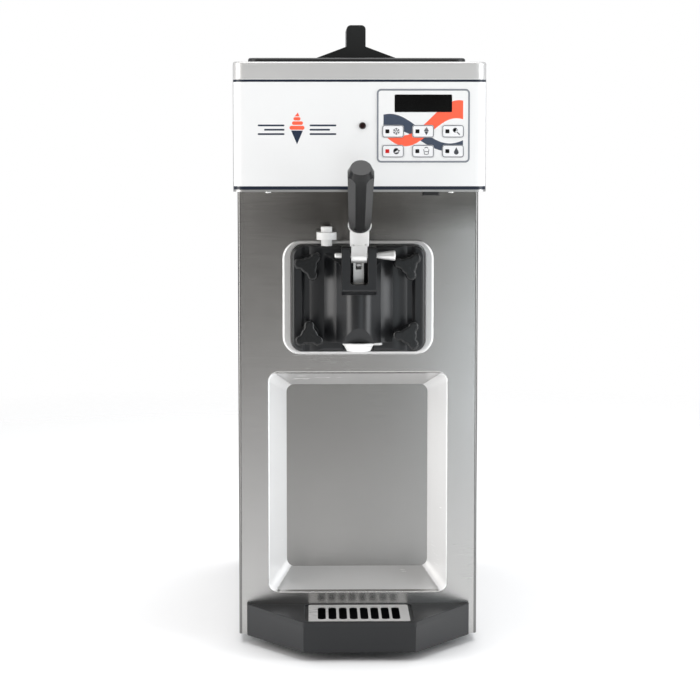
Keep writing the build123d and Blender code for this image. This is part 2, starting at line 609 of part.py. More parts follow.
with BuildPart() as beater:
    rod_y(0, BORE_Z, BEATER_RADIUS, BEATER_BACK, BEATER_BACK - DISC)
    rod_y(0, BORE_Z, BEATER_RADIUS, BEATER_FRONT + DISC, BEATER_FRONT)
    rod_y(0, BORE_Z, 30.0, BEATER_FRONT + DISC, BEATER_FRONT, mode=Mode.SUBTRACT)
    flight_length = BEATER_BACK - DISC - (BEATER_FRONT + DISC)
    with BuildSketch(upright(BEATER_BACK - DISC), mode=Mode.PRIVATE) as flight_section:
        with Locations((0, BORE_Z)):
            Rectangle(2 * FLIGHT_RADIUS, FLIGHT_THICKNESS)
    flight = Solid.extrude_linear_with_rotation(
        flight_section.sketch.faces()[0], (0, BEATER_BACK - DISC, BORE_Z),
        (0, -flight_length, 0), 360.0)
    add(flight)
    rod_y(0, BORE_Z, 10.0, BEATER_BACK - DISC, BEATER_FRONT - 22)
    rod_y(0, BORE_Z, JOURNAL_RADIUS, BEATER_FRONT, BEATER_FRONT - 22)
    spider = BEATER_RADIUS - 8
    span((-spider, BEATER_FRONT, BORE_Z - 5), (spider, BEATER_FRONT + DISC, BORE_Z + 5))
    with BuildSketch(upright(BEATER_BACK)):
        with Locations((0, BORE_Z)):
            RegularPolygon(8.0, 6, major_radius=False)
    extrude(amount=DISC - 2, mode=Mode.SUBTRACT)
save(beater.part, "beater")

with BuildPart() as scraper_blades:
    for blade_side in (-1, 1):
        low, high = ordered(blade_side * (FLIGHT_RADIUS + 0.5), blade_side * (BORE_RADIUS - 0.6))
        span((low, BEATER_FRONT + DISC, BORE_Z - BLADE_HALF),
             (high, BEATER_BACK - DISC, BORE_Z + BLADE_HALF))
save(scraper_blades.part, "scraper_blades")

SHAFT_FRONT = BEATER_BACK - DISC + 2
GEARBOX_FRONT = behind(262.0)
GEARBOX_BACK = behind(345.0)
with BuildPart() as drive_shaft:
    rod_y(0, BORE_Z, SHAFT_RADIUS, GEARBOX_FRONT + 14, BEATER_BACK)
    with BuildSketch(upright(BEATER_BACK)):
        with Locations((0, BORE_Z)):
            RegularPolygon(8.0 - RUNNING, 6, major_radius=False)
    extrude(amount=BEATER_BACK - SHAFT_FRONT)
save(drive_shaft.part, "drive_shaft")

# plastic bush in the door's boss that carries the beater's front journal
BOSS_RADIUS = 45.5
BOSS_BACK = behind(20.0)
BUSH_RADIUS = 15.0
BUSH_BACK = BOSS_BACK + 1.5
BUSH_FRONT = ahead(1.0)
with BuildPart() as front_bearing:
    rod_y(0, BORE_Z, BUSH_RADIUS, BUSH_BACK, BUSH_FRONT)
    rod_y(0, BORE_Z, BUSH_RADIUS + 4, BUSH_BACK, BOSS_BACK)
    rod_y(0, BORE_Z, JOURNAL_RADIUS + RUNNING, BUSH_BACK, BUSH_FRONT + 1.5, mode=Mode.SUBTRACT)
save(front_bearing.part, "front_bearing")

# ---------------------------------------------------------------- freezer door
DOOR_BACK = FLANGE_FRONT - GAP
COLUMN_RADIUS = 24.0
COLUMN_BOTTOM = 410.6
BLOCK_HALF = 22.7
BLOCK_TOP = 538.4
BLOCK_BOTTOM = 475.0
BLOCK_REACH = 75.0
SLOT_HALF = 11.55
SLOT_FLOOR = 489.0
SLOT_BACK = ahead(20.0)
SPIGOT_RADIUS = 15.2
SPIGOT_BOTTOM = 403.0
PASSAGE_RADIUS = 6.5
PASSAGE_Z = 427.5
PLUG_X = -42.0
PLUG_AHEAD = 17.5
PLUG_RADIUS = 7.3
GASKET_RADIUS = 56.0
GASKET_SECTION = 2.2
GROOVE_DEPTH = 4.6
NOTCH_RADIUS = 21.6
BEVEL_TOP = 431.0
BEVEL_BACK = 47.0

# dish and sweep: a hollow of one radius from the dish's flat to the column's sloped side
DISH_DEPTH = 24.0
DISH_HALF = 75.0
DISH_STEP = 71.0
DISH_FLAT = 64.6
SWEEP_RADIUS = 50.0
SWEEP_SLOPE = 45.0
SWEEP_TOP = 532.0
SWEEP_SHOULDER = 60.0
SEAT_RADIUS = 12.5
SWEEP_FOOT = DISH_FLAT - sqrt(SWEEP_RADIUS**2 - (SWEEP_RADIUS - DOOR_FRONT + DISH_DEPTH) ** 2)
SWEEP_END = (
    DISH_FLAT - SWEEP_RADIUS * sin(radians(SWEEP_SLOPE)),
    DISH_DEPTH + SWEEP_RADIUS * (1 - cos(radians(SWEEP_SLOPE))),
)
SHOULDER = (
    COLUMN_RADIUS * sin(radians(SWEEP_SLOPE)),
    VALVE_AHEAD + COLUMN_RADIUS * cos(radians(SWEEP_SLOPE)),
)


def sweep_run(side):
    """Outline of one sweep, from the door's face up to the column's shoulder."""
    foot = (side * SWEEP_FOOT, ahead(DOOR_FRONT))
    end = (side * SWEEP_END[0], ahead(SWEEP_END[1]))
    shoulder = (side * SHOULDER[0], ahead(SHOULDER[1]))
    RadiusArc(foot, end, side * SWEEP_RADIUS)
    Polyline(end, shoulder, (0, ahead(SHOULDER[1])), (0, ahead(DOOR_FRONT - 4)),
             (side * SWEEP_FOOT, ahead(DOOR_FRONT - 4)), foot)


with BuildPart() as freezer_door:
    slab_y(0, BORE_Z, DOOR_WIDTH, DOOR_HEIGHT, 14.0, DOOR_BACK, ahead(DOOR_FRONT))
    fillet(freezer_door.faces().sort_by(Axis.Y)[0].edges(), 5.0)
    # shallow dish in each flank, with the knobs' seats left standing
    for side in (-1, 1):
        with BuildSketch(Plane.XY.offset(BORE_Z - DOOR_HEIGHT / 2)):
            with BuildLine():
                Polyline(
                    (side * DISH_HALF, ahead(DOOR_FRONT + 1)), (side * DISH_HALF, ahead(DOOR_FRONT)),
                    (side * DISH_STEP, ahead(DISH_DEPTH)), (side * DISH_FLAT, ahead(DISH_DEPTH)))
                RadiusArc((side * DISH_FLAT, ahead(DISH_DEPTH)), (side * SWEEP_FOOT, ahead(DOOR_FRONT)),
                          side * SWEEP_RADIUS)
                Polyline(
                    (side * SWEEP_FOOT, ahead(DOOR_FRONT)), (side * SWEEP_FOOT, ahead(DOOR_FRONT + 1)),
                    (side * DISH_HALF, ahead(DOOR_FRONT + 1)))
            make_face()
        extrude(amount=DOOR_HEIGHT, mode=Mode.SUBTRACT)
    for seat_x, seat_z in KNOB_CENTRES:
        rod_y(seat_x, seat_z, SEAT_RADIUS, DOOR_BACK, ahead(DOOR_FRONT))
    # dispensing column: half-round in front, tangent sides running into the plate
    with BuildSketch(Plane.XY.offset(COLUMN_BOTTOM)):
        with Locations((0, ahead(VALVE_AHEAD))):
            Circle(COLUMN_RADIUS)
        with Locations((0, ahead(VALVE_AHEAD / 2 + 10))):
            Rectangle(2 * COLUMN_RADIUS, VALVE_AHEAD - 20)
    extrude(amount=SLOT_FLOOR - COLUMN_BOTTOM)
    # sweeps either side of the column, cut off on a slope level with the pivot
    for side in (-1, 1):
        with BuildSketch(Plane.XY.offset(COLUMN_BOTTOM)):
            with BuildLine():
                sweep_run(side)
            make_face()
        extrude(amount=SWEEP_TOP - COLUMN_BOTTOM)
    with BuildSketch(Plane.YZ.offset(-DISH_HALF)):
        with BuildLine():
            Polyline(
                (ahead(DOOR_FRONT), SWEEP_TOP - 4), (ahead(SWEEP_SHOULDER), SWEEP_TOP - 34),
                (ahead(SWEEP_SHOULDER), SWEEP_TOP), (ahead(DOOR_FRONT), SWEEP_TOP), close=True)
        make_face()
    extrude(amount=2 * DISH_HALF, mode=Mode.SUBTRACT)
    # lever guard block with a rounded underside
    with BuildSketch(Plane.YZ.offset(-BLOCK_HALF)) as block_side:
        with BuildLine():
            Polyline(
                (ahead(DOOR_FRONT - 2), BLOCK_TOP), (ahead(BLOCK_REACH), BLOCK_TOP),
                (ahead(BLOCK_REACH), BLOCK_BOTTOM + 6), (ahead(BLOCK_REACH - 17), BLOCK_BOTTOM),
                (ahead(DOOR_FRONT - 2), BLOCK_BOTTOM), close=True)
        make_face()
        fillet(block_side.vertices().filter_by_position(Axis.X, ahead(80), ahead(70)), 3.0)
    extrude(amount=2 * BLOCK_HALF)
    # the bevel at the column's foot, seen from the front as a dome
    with BuildSketch(Plane.YZ.offset(-COLUMN_RADIUS - 1)):
        with BuildLine():
            Polyline(
                (ahead(VALVE_AHEAD + COLUMN_RADIUS), BEVEL_TOP), (ahead(BEVEL_BACK), COLUMN_BOTTOM),
                (ahead(90), COLUMN_BOTTOM), (ahead(90), BEVEL_TOP), close=True)
        make_face()
    extrude(amount=2 * COLUMN_RADIUS + 2, mode=Mode.SUBTRACT)
    # boss that closes the cylinder's front end
    rod_y(0, BORE_Z, BOSS_RADIUS, BOSS_BACK, DOOR_BACK)
    rod_y(0, BORE_Z, BUSH_RADIUS, BOSS_BACK, BUSH_FRONT, mode=Mode.SUBTRACT)
    # valve bore with its nozzle spigot, and the slot for the lever
    rod_z(0, ahead(VALVE_AHEAD), NOTCH_RADIUS, COLUMN_BOTTOM - 20, COLUMN_BOTTOM, mode=Mode.SUBTRACT)
    rod_z(0, ahead(VALVE_AHEAD), SPIGOT_RADIUS, SPIGOT_BOTTOM, COLUMN_BOTTOM)
    rod_z(0, ahead(VALVE_AHEAD), VALVE_BORE, SPIGOT_BOTTOM, BLOCK_TOP + 1, mode=Mode.SUBTRACT)
    with BuildSketch(upright(SLOT_BACK)) as slot_section:
        with Locations((0, (SLOT_FLOOR + BLOCK_TOP + 10) / 2)):
            Rectangle(2 * SLOT_HALF, BLOCK_TOP + 10 - SLOT_FLOOR)
        fillet(slot_section.vertices().group_by(Axis.Y)[0], 4.0)
    extrude(amount=BLOCK_REACH, mode=Mode.SUBTRACT)
    rod_x(ahead(PIVOT_AHEAD), PIVOT_Z, PIN_RADIUS + RUNNING, -BLOCK_HALF, BLOCK_HALF, mode=Mode.SUBTRACT)
    # product passage from the cylinder's floor to the valve, and the priming bleed
    rod_y(0, PASSAGE_Z, PASSAGE_RADIUS, BOSS_BACK, ahead(VALVE_AHEAD), mode=Mode.SUBTRACT)
    rod_z(PLUG_X, ahead(PLUG_AHEAD), PLUG_RADIUS + RUNNING, 478.0, BLOCK_TOP, mode=Mode.SUBTRACT)
    rod_y(PLUG_X + 8, 482.0, 2.5, BOSS_BACK, ahead(PLUG_AHEAD), mode=Mode.SUBTRACT)
    # clearance holes over the studs and the gasket's groove
    for stud_x, stud_z in KNOB_CENTRES:
        rod_y(stud_x, stud_z, STUD_RADIUS + 0.5, DOOR_BACK, ahead(DOOR_FRONT), mode=Mode.SUBTRACT)
    rod_y(0, BORE_Z, GASKET_RADIUS + GASKET_SECTION, DOOR_BACK, DOOR_BACK - GROOVE_DEPTH, mode=Mode.SUBTRACT)
    rod_y(0, BORE_Z, GASKET_RADIUS - GASKET_SECTION, DOOR_BACK, DOOR_BACK - GROOVE_DEPTH)
    rod_y(0, BORE_Z, BUSH_RADIUS, DOOR_BACK, BUSH_FRONT, mode=Mode.SUBTRACT)
    rod_y(0, PASSAGE_Z, PASSAGE_RADIUS, BOSS_BACK, ahead(VALVE_AHEAD), mode=Mode.SUBTRACT)
    rod_y(PLUG_X + 8, 482.0, 2.5, BOSS_BACK, ahead(PLUG_AHEAD), mode=Mode.SUBTRACT)
save(freezer_door.part, "freezer_door")

with BuildPart() as door_gasket:
    gasket_y = DOOR_BACK - GASKET_SECTION
    with BuildSketch(Plane.XY.offset(BORE_Z)):
        with Locations((GASKET_RADIUS, gasket_y)):
            Circle(GASKET_SECTION)
    revolve(axis=Axis((0, 0, BORE_Z), (0, 1, 0)))
save(door_gasket.part, "door_gasket")

# ---------------------------------------------------------------- draw valve
VALVE_RADIUS = 12.6
VALVE_BOTTOM = 411.0
VALVE_TOP = 489.0
HEAD_TOP = 527.0
HEAD_HALF = 7.0
HEAD_THICKNESS = 10.0
RING_ZS = (438.0, 470.0, 482.0)
RING_SECTION = 1.6
NOSE_ARM = 29.0
NOSE_ANGLE = radians(27.0)
NOSE_RADIUS = 6.0
NOSE_Z = PIVOT_Z - NOSE_ARM * sin(NOSE_ANGLE)
NOSE_AHEAD = PIVOT_AHEAD - NOSE_ARM * cos(NOSE_ANGLE)
EYE_HALF = NOSE_RADIUS + 0.6
RING_MAJOR = VALVE_BORE - RUNNING - RING_SECTION

with BuildPart() as draw_valve:
    valve_y = ahead(VALVE_AHEAD)
    rod_z(0, valve_y, VALVE_RADIUS, VALVE_BOTTOM, VALVE_TOP)
    span((-HEAD_HALF, valve_y - HEAD_THICKNESS / 2, VALVE_TOP),
         (HEAD_HALF, valve_y + HEAD_THICKNESS / 2, HEAD_TOP))
    fillet(draw_valve.faces().sort_by(Axis.Z)[-1].edges(), 1.5)
    span((-3.5, valve_y - 10, NOSE_Z - EYE_HALF), (3.5, valve_y + 10, NOSE_Z + EYE_HALF), mode=Mode.SUBTRACT)
    for ring_z in RING_ZS:
        rod_z(0, valve_y, VALVE_RADIUS, ring_z - RING_SECTION, ring_z + RING_SECTION, mode=Mode.SUBTRACT)
        rod_z(0, valve_y, RING_MAJOR - RING_SECTION, ring_z - RING_SECTION, ring_z + RING_SECTION)
save(draw_valve.part, "draw_valve")

with BuildPart() as valve_orings:
    with BuildSketch(Plane.XZ.offset(-valve_y)):
        for ring_z in RING_ZS:
            with Locations((RING_MAJOR, ring_z)):
                Circle(RING_SECTION)
    revolve(axis=Axis((0, valve_y, 0), (0, 0, 1)))
save(valve_orings.part, "valve_orings")

# ---------------------------------------------------------------- draw lever, grip and pivot pin
PIVOT_Y = ahead(PIVOT_AHEAD)
TILT = radians(45.0)
HUB_RADIUS = 9.8
HUB_HALF = 10.3
CLAMP_START = 27.0
CLAMP_END = 56.5
CLAMP_HALF = 12.3
CLAMP_THICKNESS = 17.0
CLAMP_GROOVE = (9.6, 1.6)
CLAMP_HOLE_X = 7.7
CLAMP_HOLE_RADIUS = 1.5
CLAMP_HOLE_UP = 2.8
STEM_RADIUS = 7.0
RING_START = 57.7
RING_RADIUS = 15.2
GRIP_START = 59.5
GRIP_SHOULDER = 157.0
GRIP_END = 165.0
GRIP_FOOT_FLAT = 14.3
GRIP_SHOULDER_FLAT = 16.7
GRIP_END_FLAT = 13.0
GRIP_BORE = 5.0
GRIP_BORE_DEPTH = 61.0
ALONG = Vector(0, -cos(TILT), sin(TILT))


def lever_plane(distance):
    """Plane square to the lever's axis at this distance from the pivot."""
    return Plane(origin=Vector(0, PIVOT_Y, PIVOT_Z) + ALONG * distance, x_dir=(1, 0, 0), z_dir=ALONG)


with BuildPart() as draw_lever:
    rod_x(PIVOT_Y, PIVOT_Z, HUB_RADIUS, -HUB_HALF, HUB_HALF)
    # neck between the guard's cheeks, then the clamp that holds the grip's stem
    with BuildSketch(lever_plane(2.0)):
        Rectangle(2 * HUB_HALF, 15.0)
    extrude(amount=CLAMP_START)
    with BuildSketch(lever_plane(CLAMP_START)):
        RectangleRounded(2 * CLAMP_HALF, CLAMP_THICKNESS, 2.0)
    extrude(amount=CLAMP_END - CLAMP_START)
    fillet(draw_lever.faces().sort_by(Axis((0, 0, 0), tuple(ALONG)))[-1].edges(), 1.5)
    # groove down the clamp's front, and a tooling hole at each side of its lower edge
    with BuildSketch(lever_plane(CLAMP_START)):
        with Locations((0, -CLAMP_THICKNESS / 2)):
            Rectangle(CLAMP_GROOVE[0], 2 * CLAMP_GROOVE[1])
    extrude(amount=CLAMP_END - CLAMP_START, mode=Mode.SUBTRACT)
    clamp_face = Plane(
        origin=Vector(0, PIVOT_Y, PIVOT_Z) + ALONG * (CLAMP_START + CLAMP_HOLE_UP)
        + lever_plane(0).y_dir * (-CLAMP_THICKNESS / 2),
        x_dir=(1, 0, 0), z_dir=lever_plane(0).y_dir * -1)
    with BuildSketch(clamp_face):
        for hole_x in (-CLAMP_HOLE_X, CLAMP_HOLE_X):
            with Locations((hole_x, 0)):
                Circle(CLAMP_HOLE_RADIUS)
    extrude(amount=-3.0, mode=Mode.SUBTRACT)
    with BuildSketch(lever_plane(CLAMP_END)):
        Circle(STEM_RADIUS)
    extrude(amount=RING_START - CLAMP_END)
    with BuildSketch(lever_plane(RING_START)):
        Circle(RING_RADIUS)
    extrude(amount=GRIP_START - RING_START)
    with BuildSketch(lever_plane(GRIP_START)):
        Circle(GRIP_BORE - RUNNING)
    extrude(amount=GRIP_BORE_DEPTH - 1)
    # short arm down to the rounded nose in the valve's eye
    with BuildSketch(Plane.YZ.offset(-3.0)):
        with BuildLine():
            nose_y = ahead(NOSE_AHEAD)
            side_y = 3.5 * sin(NOSE_ANGLE)
            side_z = 3.5 * cos(NOSE_ANGLE)
            Polyline(
                (PIVOT_Y - side_y, PIVOT_Z + side_z), (PIVOT_Y + side_y, PIVOT_Z - side_z),
                (nose_y + side_y, NOSE_Z - side_z), (nose_y - side_y, NOSE_Z + side_z), close=True)
        make_face()
        with Locations((nose_y, NOSE_Z)):
            Circle(NOSE_RADIUS)
    extrude(amount=6.0)
    rod_x(PIVOT_Y, PIVOT_Z, PIN_RADIUS + RUNNING, -HUB_HALF - 2, HUB_HALF + 2, mode=Mode.SUBTRACT)
save(draw_lever.part, "draw_lever")

# turned outline that rounds the grip off into its ring and at its flat end
GRIP_TURNING = (
    (GRIP_START, GRIP_FOOT_FLAT - 0.1), (GRIP_START + 3.5, GRIP_FOOT_FLAT + 0.1),
    (GRIP_START + 13.0, GRIP_FOOT_FLAT + 1.7), (GRIP_END - 16.0, 19.5), (GRIP_END, GRIP_END_FLAT + 0.1),
)
with BuildPart() as grip_turning:
    for (start, start_radius), (end, end_radius) in zip(GRIP_TURNING, GRIP_TURNING[1:]):
        with BuildSketch(lever_plane(start)):
            Circle(start_radius)
        with BuildSketch(lever_plane(end)):
            Circle(end_radius)
        loft(ruled=True)

# eight-sided handle grip, flaring towards a bevelled flat end
with BuildPart() as draw_grip:
    for start, end, start_flat, end_flat in (
        (GRIP_START, GRIP_SHOULDER, GRIP_FOOT_FLAT, GRIP_SHOULDER_FLAT),
        (GRIP_SHOULDER, GRIP_END, GRIP_SHOULDER_FLAT, GRIP_END_FLAT),
    ):
        with BuildSketch(lever_plane(start)):
            RegularPolygon(start_flat, 8, major_radius=False, rotation=22.5)
        with BuildSketch(lever_plane(end)):
            RegularPolygon(end_flat, 8, major_radius=False, rotation=22.5)
        loft(ruled=True)
    add(grip_turning.part, mode=Mode.INTERSECT)
    with BuildSketch(lever_plane(GRIP_START)):
        Circle(GRIP_BORE)
    extrude(amount=GRIP_BORE_DEPTH, mode=Mode.SUBTRACT)
save(draw_grip.part, "draw_grip")

PIN_LEFT = -32.0
PIN_HEAD = (24.7, 45.9, 47.3)
with BuildPart() as pivot_pin:
    rod_x(PIVOT_Y, PIVOT_Z, PIN_RADIUS, PIN_LEFT, PIN_HEAD[0])
    fillet(pivot_pin.faces().sort_by(Axis.X)[0].edges(), 2.5)
    with BuildSketch(Plane.XY.offset(PIVOT_Z)):
        with BuildLine():
            Polyline(
                (PIN_HEAD[0], PIVOT_Y), (PIN_HEAD[0], PIVOT_Y - 4.0), (PIN_HEAD[1], PIVOT_Y - 6.75),
                (PIN_HEAD[2], PIVOT_Y - 5.6), (PIN_HEAD[2], PIVOT_Y), close=True)
        make_face()
    revolve(axis=Axis((0, PIVOT_Y, PIVOT_Z), (1, 0, 0)))
save(pivot_pin.part, "pivot_pin")

# ---------------------------------------------------------------- prime plug, nozzle and door knobs
PLUG_TIP = 486.0
PLUG_COLLAR = (13.2, 545.3, 555.1)
PLUG_CAP = (7.4, 562.8)
with BuildPart() as prime_plug:
    turned_z(PLUG_X, ahead(PLUG_AHEAD), [
        (0, PLUG_TIP), (PLUG_RADIUS - 1, PLUG_TIP), (PLUG_RADIUS, PLUG_TIP + 2),
        (PLUG_RADIUS, PLUG_COLLAR[1]),
        (PLUG_COLLAR[0], PLUG_COLLAR[1]), (PLUG_COLLAR[0], PLUG_COLLAR[2]), (PLUG_CAP[0], PLUG_COLLAR[2]),
        PLUG_CAP, (0, PLUG_CAP[1]),
    ])
    fillet(prime_plug.faces().sort_by(Axis.Z)[-1].edges(), 1.2)
save(prime_plug.part, "prime_plug")

NOZZLE_TOP = COLUMN_BOTTOM - GAP
NOZZLE_FLOOR = 402.5
NOZZLE_BOTTOM = 399.4
NOZZLE_RIM = 21.0
EAR_BOTTOM = 407.3
EAR_SIZE = (18.4, 11.0)
STAR_OUTER = 7.5
STAR_INNER = 4.2
with BuildPart() as nozzle:
    turned_z(0, valve_y, [
        (0, NOZZLE_BOTTOM), (15.6, NOZZLE_BOTTOM), (19.2, NOZZLE_BOTTOM + 7.0),
        (NOZZLE_RIM, NOZZLE_BOTTOM + 8.2),
        (NOZZLE_RIM, NOZZLE_TOP - 0.6), (NOZZLE_RIM - 0.8, NOZZLE_TOP), (0, NOZZLE_TOP),
    ])
    with BuildSketch(Plane.XY.offset(EAR_BOTTOM)):
        with Locations((NOZZLE_RIM + 1, valve_y)):
            SlotOverall(*EAR_SIZE)
    extrude(amount=NOZZLE_TOP - EAR_BOTTOM)
    rod_z(0, valve_y, SPIGOT_RADIUS + GAP, NOZZLE_FLOOR, NOZZLE_TOP, mode=Mode.SUBTRACT)
    with BuildSketch(Plane.XY.offset(NOZZLE_BOTTOM)):
        with BuildLine():
            star = [
                Vector(STAR_OUTER if tip % 2 == 0 else STAR_INNER, 0).rotate(Axis.Z, 30.0 * tip)
                + Vector(0, valve_y)
                for tip in range(12)
            ]
            Polyline(*star, close=True)
        make_face()
    extrude(amount=NOZZLE_FLOOR - NOZZLE_BOTTOM, mode=Mode.SUBTRACT)
save(nozzle.part, "nozzle")

KNOB_BACK = ahead(DOOR_FRONT + 6.0)
KNOB_FRONT = ahead(55.5)
KNOB_NAMES = ("knob_upper_left", "knob_lower_left", "knob_upper_right", "knob_lower_right")
KNOB_TURNS = (50.0, 90.0, 45.0, 60.0)
KNOB_HUB = 11.5
LOBE_REACH = 13.2
LOBE_RADIUS = 7.0

for (knob_x, knob_z), knob_name, turn in zip(KNOB_CENTRES, KNOB_NAMES, KNOB_TURNS):
    with BuildPart() as knob:
        with BuildSketch(upright(KNOB_BACK)) as lobes:
            with Locations((knob_x, knob_z)):
                Circle(KNOB_HUB)
                with PolarLocations(LOBE_REACH, 3, start_angle=turn):
                    Circle(LOBE_RADIUS)
            fillet(lobes.vertices(), 4.0)
        extrude(amount=KNOB_BACK - KNOB_FRONT)
        fillet(knob.faces().sort_by(Axis.Y)[0].edges(), 3.0)
        fillet(knob.faces().sort_by(Axis.Y)[-1].edges(), 1.5)
        rod_y(knob_x, knob_z, 8.5, ahead(DOOR_FRONT + GAP), KNOB_BACK)
        rod_y(knob_x, knob_z, STUD_RADIUS + RUNNING, ahead(DOOR_FRONT), ahead(STUD_REACH + 1),
              mode=Mode.SUBTRACT)
    save(knob.part, knob_name)

# ---------------------------------------------------------------- gearbox, belt and motor
PULLEY_FRONT = behind(PULLEY_BACK)
PULLEY_REAR = behind(PULLEY_BACK + PULLEY_WIDTH)
BELT_THICKNESS = 5.0
BELT_WIDTH = 18.0
INPUT_RADIUS = 9.0
MOTOR_SHAFT = 8.0
MOTOR_RADIUS = 55.0
MOTOR_FRONT = behind(200.0)
MOTOR_BACK = behind(345.0)

with BuildPart() as gearbox:
    slab_y(0, BORE_Z, 130, 130, 26.0, GEARBOX_BACK - 12, GEARBOX_FRONT + 12)
    fillet(gearbox.faces().sort_by(Axis.Y)[0].edges(), 6.0)
    rod_y(0, BORE_Z, 34, GEARBOX_BACK, GEARBOX_FRONT)
    span((-70, GEARBOX_FRONT + 16, DECK_TOP), (70, GEARBOX_BACK - 16, DECK_TOP + 12))
    span((-45, GEARBOX_FRONT + 20, DECK_TOP), (45, GEARBOX_BACK - 20, BORE_Z - 40))
    rod_y(0, BORE_Z, SHAFT_RADIUS + RUNNING, GEARBOX_FRONT + 15, GEARBOX_FRONT, mode=Mode.SUBTRACT)
    rod_y(0, BORE_Z, INPUT_RADIUS + RUNNING, GEARBOX_BACK, GEARBOX_BACK - 25, mode=Mode.SUBTRACT)
    slab_y(0, BORE_Z, 100, 100, 18.0, GEARBOX_BACK - 26, GEARBOX_FRONT + 24, mode=Mode.SUBTRACT)
save(gearbox.part, "gearbox")


def pulley(x, z, radius, shaft_radius, shaft_front):
    """Flat-belt pulley with two rims, a web with holes, and its own shaft."""
    middle = (PULLEY_FRONT + PULLEY_REAR) / 2
    with BuildPart() as wheel:
        rod_y(x, z, radius + 3, PULLEY_REAR, PULLEY_FRONT)
        rod_y(x, z, radius + 4, middle + BELT_WIDTH / 2 + 1, middle - BELT_WIDTH / 2 - 1, mode=Mode.SUBTRACT)
        rod_y(x, z, radius, middle + BELT_WIDTH / 2 + 1, middle - BELT_WIDTH / 2 - 1)
        rod_y(x, z, radius - 8, PULLEY_REAR, middle + 3, mode=Mode.SUBTRACT)
        rod_y(x, z, radius - 8, middle - 3, PULLEY_FRONT, mode=Mode.SUBTRACT)
        rod_y(x, z, shaft_radius + 7, PULLEY_REAR, PULLEY_FRONT)
        rod_y(x, z, shaft_radius, PULLEY_REAR + 2, shaft_front)
        hole_radius = (radius - 8 - shaft_radius - 7) / 2 - 2
        if hole_radius > 3:
            hole_ring = (radius - 8 + shaft_radius + 7) / 2
            for spoke in range(6):
                angle = radians(60 * spoke)
                rod_y(x + hole_ring * cos(angle), z + hole_ring * sin(angle), hole_radius,
                      middle + 3, middle - 3, mode=Mode.SUBTRACT)
    return wheel.part


save(pulley(0, BORE_Z, BIG_PULLEY, INPUT_RADIUS, GEARBOX_BACK - 22), "gearbox_pulley")
save(pulley(MOTOR_X, MOTOR_Z, SMALL_PULLEY, MOTOR_SHAFT, MOTOR_BACK - 22), "motor_pulley")


def belt_outline(clearance):
    """Open-belt loop round both pulleys: a hull of two circles."""
    with BuildSketch(upright(PULLEY_REAR)) as loop:
        with Locations((0, BORE_Z)):
            Circle(BIG_PULLEY + clearance)
        with Locations((MOTOR_X, MOTOR_Z)):
            Circle(SMALL_PULLEY + clearance)
        make_hull()
    return loop.sketch


with BuildPart() as drive_belt:
    belt_edge = (PULLEY_WIDTH - BELT_WIDTH) / 2
    extrude(belt_outline(GAP + BELT_THICKNESS), amount=PULLEY_WIDTH - belt_edge)
    extrude(belt_outline(GAP), amount=PULLEY_WIDTH - belt_edge, mode=Mode.SUBTRACT)
    extrude(belt_outline(GAP + BELT_THICKNESS + 1), amount=belt_edge, mode=Mode.SUBTRACT)
save(drive_belt.part, "drive_belt")

# hung motor: finned body, end bells and a bracket up to the deck
with BuildPart() as drive_motor:
    rod_y(MOTOR_X, MOTOR_Z, MOTOR_RADIUS - 3, MOTOR_BACK - 12, MOTOR_FRONT + 12)
    with BuildSketch(upright(MOTOR_BACK - 16)):
        with Locations((MOTOR_X, MOTOR_Z)):
            with PolarLocations(MOTOR_RADIUS - 3, 24):
                Rectangle(6, 3)
    extrude(amount=MOTOR_BACK - MOTOR_FRONT - 32)
    rod_y(MOTOR_X, MOTOR_Z, MOTOR_RADIUS, MOTOR_FRONT + 14, MOTOR_FRONT)
    rod_y(MOTOR_X, MOTOR_Z, MOTOR_RADIUS, MOTOR_BACK, MOTOR_BACK - 14)
    fillet(drive_motor.faces().sort_by(Axis.Y)[0].edges(), 8.0)
    span((MOTOR_X - 34, MOTOR_FRONT + 34, MOTOR_Z + 40),
         (MOTOR_X + 34, MOTOR_BACK - 34, DECK_TOP - DECK_SHEET))
    span((MOTOR_X - 22, MOTOR_FRONT + 30, MOTOR_Z + 56),
         (MOTOR_X + 22, MOTOR_BACK - 30, DECK_TOP - DECK_SHEET - 8),
         mode=Mode.SUBTRACT)
    rod_y(MOTOR_X, MOTOR_Z, MOTOR_RADIUS - 16, MOTOR_BACK - 26, MOTOR_FRONT + 20, mode=Mode.SUBTRACT)
    rod_y(MOTOR_X, MOTOR_Z, MOTOR_SHAFT + RUNNING, MOTOR_BACK, MOTOR_BACK - 26, mode=Mode.SUBTRACT)
save(drive_motor.part, "drive_motor")

# ---------------------------------------------------------------- refrigeration
COMPRESSOR_X = -72.0
COMPRESSOR_Y = behind(262.0)
COMPRESSOR_RADIUS = 66.0
COMPRESSOR_FOOT = FLOOR_TOP + 14.0
COMPRESSOR_TOP = 214.0
COIL_FRONT = behind(482.0)
COIL_BACK = behind(530.0)
COIL_HALF = 125.0
COIL_BOTTOM = FLOOR_TOP + 18
COIL_TOP = 325.0
FAN_X = 0.0
FAN_Z = 190.0
FAN_RADIUS = 98.0
FAN_FRONT = behind(424.0)
FAN_BACK = behind(452.0)

